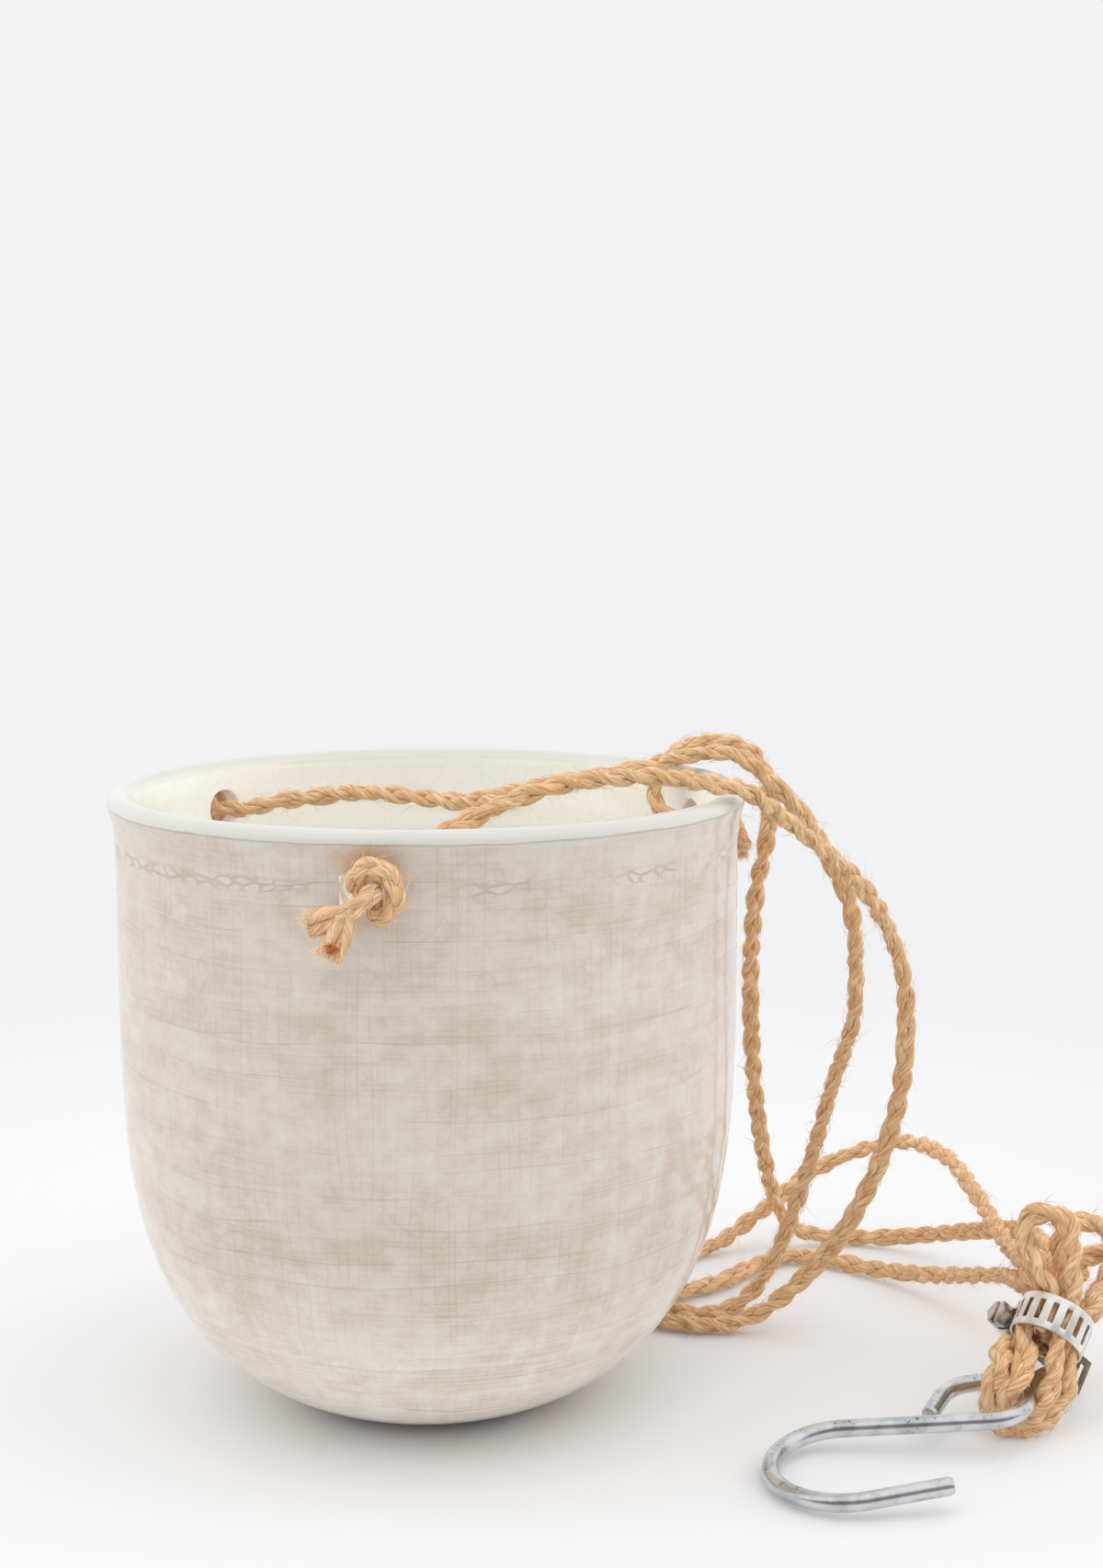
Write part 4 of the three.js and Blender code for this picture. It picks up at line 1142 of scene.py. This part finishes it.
def make_outer_glaze():
    material, tree, shader = new_material("outer_glaze", ior=GLAZE_IOR)
    place = object_place(tree)
    x, y, height = split(tree, place)
    girth = times(tree, maths(tree, "ARCTAN2", x, times(tree, y, -1)), BODY_RADIUS)
    low = step(tree, height, *LOW_WALL_BOUNCE_LIGHT)
    level, level_tone = hairlines(tree, place, height, **LEVEL_LINES)
    thread, thread_tone = hairlines(tree, place, height, **THREADS)
    upright, upright_tone = hairlines(tree, place, girth, **UPRIGHTS)
    polygon, polygon_tone = grouped(tree, crackle_group, place, cells=140, width=0.00026, warp=0.004)

    wash = noise(tree, stretched(tree, place, (1, 1, 1.8)), 30)
    patches = noise(tree, stretched(tree, place, (1, 1, 1.5)), 120)
    mottle = noise(tree, place, 420)
    stain = weighed(
        tree, (wash, 0.55), (patches, 0.5), (level_tone, 0.07), (thread_tone, 0.06),
        (upright_tone, 0.05), (polygon_tone, 0.06), (mottle, 0.2))
    stain = step(tree, stain, 0.46, 1.06)
    worn = step(tree, noise(tree, place, 55), 0.3, 0.66)
    lines = most(
        tree,
        times(tree, level, weighed(tree, (worn, 0.24), (low, 0.1), (stain, 0.16))),
        times(tree, thread, weighed(tree, (stain, 0.24), (low, 0.1))),
        times(tree, upright, weighed(tree, (worn, 0.14), (stain, 0.12))),
        times(tree, polygon, weighed(tree, (worn, 0.08), (stain, 0.08))),
    )
    crease = times(
        tree, step(tree, height, *CREASE_BOTTOM), step(tree, height, *CREASE_TOP),
        step(tree, noise(tree, place, 45, 2), 0.36, 0.55))
    flat_cells = stretched(tree, place, (1, 1, 2.2))
    crumbs, _ = grouped(tree, crackle_group, flat_cells, cells=170, width=0.0009, warp=0.004)
    lines = most(tree, lines, times(tree, crumbs, crease, 0.3))

    # Both glaze tones are paler low on the wall: painted bounce light from the floor
    pale = mixed(tree, low, paint(221, 214, 206), paint(246, 241, 233))
    stained = mixed(tree, low, paint(203, 187, 169), paint(228, 214, 196))
    colour = mixed(tree, stain, pale, stained)
    colour = mixed(tree, lines, colour, paint(166, 122, 82))
    for name in HOLE_ANGLES:
        centre = from_hole(name, [(1, 0, 7)])[0]
        away = stretched(tree, vectors(tree, "SUBTRACT", place, tuple(centre)), (0.75, 0.75, 1.5))
        distance = weighed(tree, (length_of(tree, away), 1.0), (mottle, 0.005))
        halo = times(tree, step(tree, distance, 0.0115, 0.004), 0.75)
        colour = mixed(tree, halo, colour, paint(204, 150, 96))
    ragged = weighed(tree, (height, 1.0), (noise(tree, place, 90), 0.0012))
    lip = step(tree, ragged, *LIP_EDGE)
    below_lip = maths(tree, "SUBTRACT", 1, lip)
    shadow = times(tree, step(tree, ragged, *LIP_SHADOW), below_lip, 0.4)
    colour = mixed(tree, shadow, colour, paint(170, 148, 122))
    # The lip's own pale band, a little darker on its top: painted shade against the strong light from above
    lip_top_shade = step(tree, height, *LIP_TOP_SHADE)
    lip_colour_top_shaded = mixed(tree, lip_top_shade, paint(214, 213, 206), paint(206, 205, 198))
    colour = mixed(tree, lip, colour, lip_colour_top_shaded)
    # Dark brown at the foot: painted shade where the pot meets the floor
    foot = step(tree, weighed(tree, (height, 1.0), (mottle, 0.003)), *FOOT_SHADE)
    colour = mixed(tree, foot, colour, paint(118, 96, 76))
    gloss = maths(tree, "MULTIPLY_ADD", lines, 0.25, 0.09)
    crumb_relief = times(tree, crease, maths(tree, "SUBTRACT", 0.7, crumbs))
    ripple = noise(tree, place, 75, 2)
    relief = weighed(tree, (lip, 0.6), (lines, -0.25), (crumb_relief, 1.0), (ripple, 0.5))
    finish_material(tree, shader, colour, gloss, relief, 0.0002)
    return material


def make_inner_glaze():
    material, tree, shader = new_material("inner_glaze", ior=GLAZE_IOR)
    place = object_place(tree)
    cracks, _ = grouped(tree, crackle_group, place, cells=120, width=0.0003, warp=0.002)
    cloud = noise(tree, stretched(tree, place, (1, 1, 2)), 30, 4)
    colour = mixed(tree, step(tree, cloud, 0.35, 0.7), paint(253, 253, 247), paint(251, 248, 239))
    colour = mixed(tree, times(tree, cracks, 0.08), colour, paint(190, 175, 145))
    near_lip = step(tree, split(tree, place)[2], *INNER_LIP)
    colour = mixed(tree, near_lip, colour, paint(212, 211, 204))
    gloss = maths(tree, "MULTIPLY_ADD", cracks, 0.15, 0.1)
    finish_material(tree, shader, colour, gloss, noise(tree, place, 75, 2), 0.0001)
    return material


def strand_place(tree):
    """How far round a strand and how far along it, in turns and metres."""
    axes = split(tree, node(tree, "ShaderNodeUVMap", {}, uv_map="strand").outputs[0])
    return axes[0], axes[1]


def make_jute():
    material, tree, shader = new_material("jute", specular_ior_level=0.25, sheen_weight=0.1)
    around, along = strand_place(tree)
    twisted = maths(tree, "ADD", around, maths(tree, "DIVIDE", along, 0.02))
    grain = {"X": times(tree, twisted, 16), "Y": times(tree, along, 200)}
    fibre = noise(tree, node(tree, "ShaderNodeCombineXYZ", grain).outputs[0], 1.0, 4)
    colour = mixed(tree, step(tree, fibre, 0.28, 0.68), paint(196, 140, 88), paint(246, 214, 172))
    broad = step(tree, noise(tree, object_place(tree), 130), 0.42, 0.72)
    colour = mixed(tree, times(tree, broad, 0.5), colour, paint(222, 172, 118))
    # Dark brown where strands press close together: painted shade in the crevices of the plait
    clear = node(tree, "ShaderNodeAttribute", {}, attribute_name="depth").outputs["Fac"]
    colour = mixed(tree, step(tree, clear, 0.4, 0.72), paint(126, 80, 44), colour)
    rough = maths(tree, "MULTIPLY_ADD", fibre, 0.2, 0.72)
    finish_material(tree, shader, colour, rough, fibre, 0.0004)
    return material


def make_fibre(name, light, dark):
    material, tree, shader = new_material(name, specular_ior_level=0.25)
    around, along = strand_place(tree)
    one_hair = {"W": maths(tree, "FLOOR", times(tree, around, 7))}
    tone = node(tree, "ShaderNodeTexWhiteNoise", one_hair, noise_dimensions="1D").outputs["Value"]
    rough = maths(tree, "MULTIPLY_ADD", tone, 0.2, 0.7)
    finish_material(tree, shader, mixed(tree, tone, light, dark), rough, times(tree, along, 900), 0.00002)
    return material


def make_steel(name, light, dark, roughness, wear):
    """Steel with cloudy wear and spots of grime."""
    material, tree, shader = new_material(name, metallic=1.0)
    place = object_place(tree)
    cloud = noise(tree, place, 140, 4)
    speck = noise(tree, place, 1100, 2)
    colour = mixed(tree, step(tree, cloud, 0.35, 0.65), dark, light)
    grime = times(tree, step(tree, speck, 0.6, 0.7), step(tree, cloud, 0.56, 0.4), wear)
    colour = mixed(tree, grime, colour, paint(62, 56, 50))
    rough = maths(tree, "MULTIPLY_ADD", cloud, 0.14, roughness)
    finish_material(tree, shader, colour, rough, speck, 0.00002)
    return material


# Stage and light

def make_floor():
    """A wide pale floor that fades into the white around it."""
    corners = [(x * FLOOR_REACH, y * FLOOR_REACH, 0) for x, y in ((-1, -1), (1, -1), (1, 1), (-1, 1))]
    material, tree, shader = new_material("pale_floor", roughness=0.6, specular_ior_level=0.2)
    shader.inputs["Base Color"].default_value = FLOOR_COLOUR
    away = step(tree, length_of(tree, object_place(tree)), *FLOOR_FADE)
    white = node(tree, "ShaderNodeEmission", {"Color": BACKGROUND, "Strength": 1.0})
    fade = node(tree, "ShaderNodeMixShader", {0: away, 1: shader.outputs[0], 2: white.outputs[0]})
    tree.links.new(fade.outputs[0], tree.nodes["Material Output"].inputs["Surface"])
    floor = shown("floor", mesh_of("floor", corners, [(0, 1, 2, 3)]), material)


def make_world():
    """Soft light, strongest from above and from both sides; the camera sees a plain pale background."""
    world = bpy.data.worlds.new("studio")
    world.use_nodes = True
    tree = world.node_tree
    x, y, z = split(tree, node(tree, "ShaderNodeTexCoord", {}).outputs["Generated"])
    overhead = most(tree, weighed(tree, (z, OVERHEAD_RISE), (y, OVERHEAD_FORWARD)), 0)
    overhead = maths(tree, "POWER", overhead, OVERHEAD_FOCUS)
    sides = times(tree, x, x)
    lit = weighed(tree, (sides, LIGHT_FROM_SIDES), (y, LIGHT_FROM_BEHIND), (overhead, LIGHT_FROM_ABOVE))
    lit = maths(tree, "ADD", lit, LIGHT_ALL_ROUND)
    light = node(tree, "ShaderNodeBackground", {"Color": (1, 1, 1, 1), "Strength": lit})
    dim_side = maths(tree, "MULTIPLY_ADD", most(tree, z, 0), MIRRORED_RISE, y)
    mirrored = step(tree, dim_side, *MIRRORED_EDGE)
    mirrored = maths(tree, "MULTIPLY_ADD", mirrored, MIRRORED_BRIGHT, MIRRORED_DARK)
    mirror = node(tree, "ShaderNodeBackground", {"Color": BACKGROUND, "Strength": mirrored})
    seen = node(tree, "ShaderNodeBackground", {"Color": BACKGROUND, "Strength": 1.0})
    path = node(tree, "ShaderNodeLightPath", {}).outputs
    polished = most(tree, path["Is Glossy Ray"], path["Is Transmission Ray"])
    lights = node(tree, "ShaderNodeMixShader", {0: polished, 1: light.outputs[0], 2: mirror.outputs[0]})
    inputs = {0: path["Is Camera Ray"], 1: lights.outputs[0], 2: seen.outputs[0]}
    mix = node(tree, "ShaderNodeMixShader", inputs)
    tree.links.new(mix.outputs[0], tree.nodes["World Output"].inputs["Surface"])
    bpy.context.scene.world = world
    bpy.context.scene.view_settings.view_transform = "Standard"


# Making: the camera and the ropes come first

make_camera()
crackle_group = make_crackle_group()
hairline_group = make_hairline_group()
jute = make_jute()
loose_fibre = make_fibre("loose_fibre", paint(250, 224, 188), paint(222, 172, 122))
# Paler than the loose fibres: the frayed tail's own cream colour, lightened further as painted light against
# the shade among its fibres
pale_lit_tail_fibre = make_fibre("pale_lit_tail_fibre", paint(255, 240, 216), paint(244, 206, 164))
stained_fibre = make_fibre("stained_fibre", paint(222, 140, 66), paint(176, 98, 42))
outer_glaze = make_outer_glaze()
inner_glaze = make_inner_glaze()
band_steel = make_steel("band_steel", paint(246, 245, 241), paint(222, 221, 216), 0.36, 0.25)
# The strap end's steel is a darker copy of the band's: painted shade, as the strap end lies in shade
shaded_strap_steel = make_steel("shaded_strap_steel", paint(150, 140, 126), paint(112, 104, 92), 0.38, 0.5)
screw_steel = make_steel("screw_steel", paint(206, 204, 198), paint(150, 148, 142), 0.2, 0.6)
hook_steel = make_steel("hook_steel", paint(218, 219, 221), paint(192, 193, 195), 0.18, 0.8)

ropes = {name: made_rope(name) for name in HOLE_ANGLES}
knots = {name: made_knot(name) for name in HOLE_ANGLES}
pot = made_pot()
band = made_band()
strap = made_strap()
housing = made_housing()
screw = made_screw()
hook = made_hook()

for piece, node_name, body, slot in (
    (pot, "vase_body", "pot", "glaze"),
    (band, "clamp_band", "pot", "clamp_steel"),
    (strap, "clamp_strap_end", "strap", "clamp_steel"),
    (housing, "clamp_housing", "pot", "clamp_steel"),
    (screw, "clamp_screw", "screw", "clamp_steel"),
    (hook, "hook", "hook", "hook_wire"),
):
    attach(piece, body)
    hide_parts(node_name)

for name, (rope, fibres, line) in ropes.items():
    knot, *knot_fibres = knots[name]
    for piece in (rope, fibres, knot, *knot_fibres):
        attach(piece, "pot")
    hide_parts(f"{name}_rope_run", f"{name}_rope_hank")
    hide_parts(f"{name}_knot")
    on_rope = [fibres, knot, *knot_fibres]
    if name == "front":
        on_rope += [band, strap, housing, screw, hook]

make_floor()
make_world()
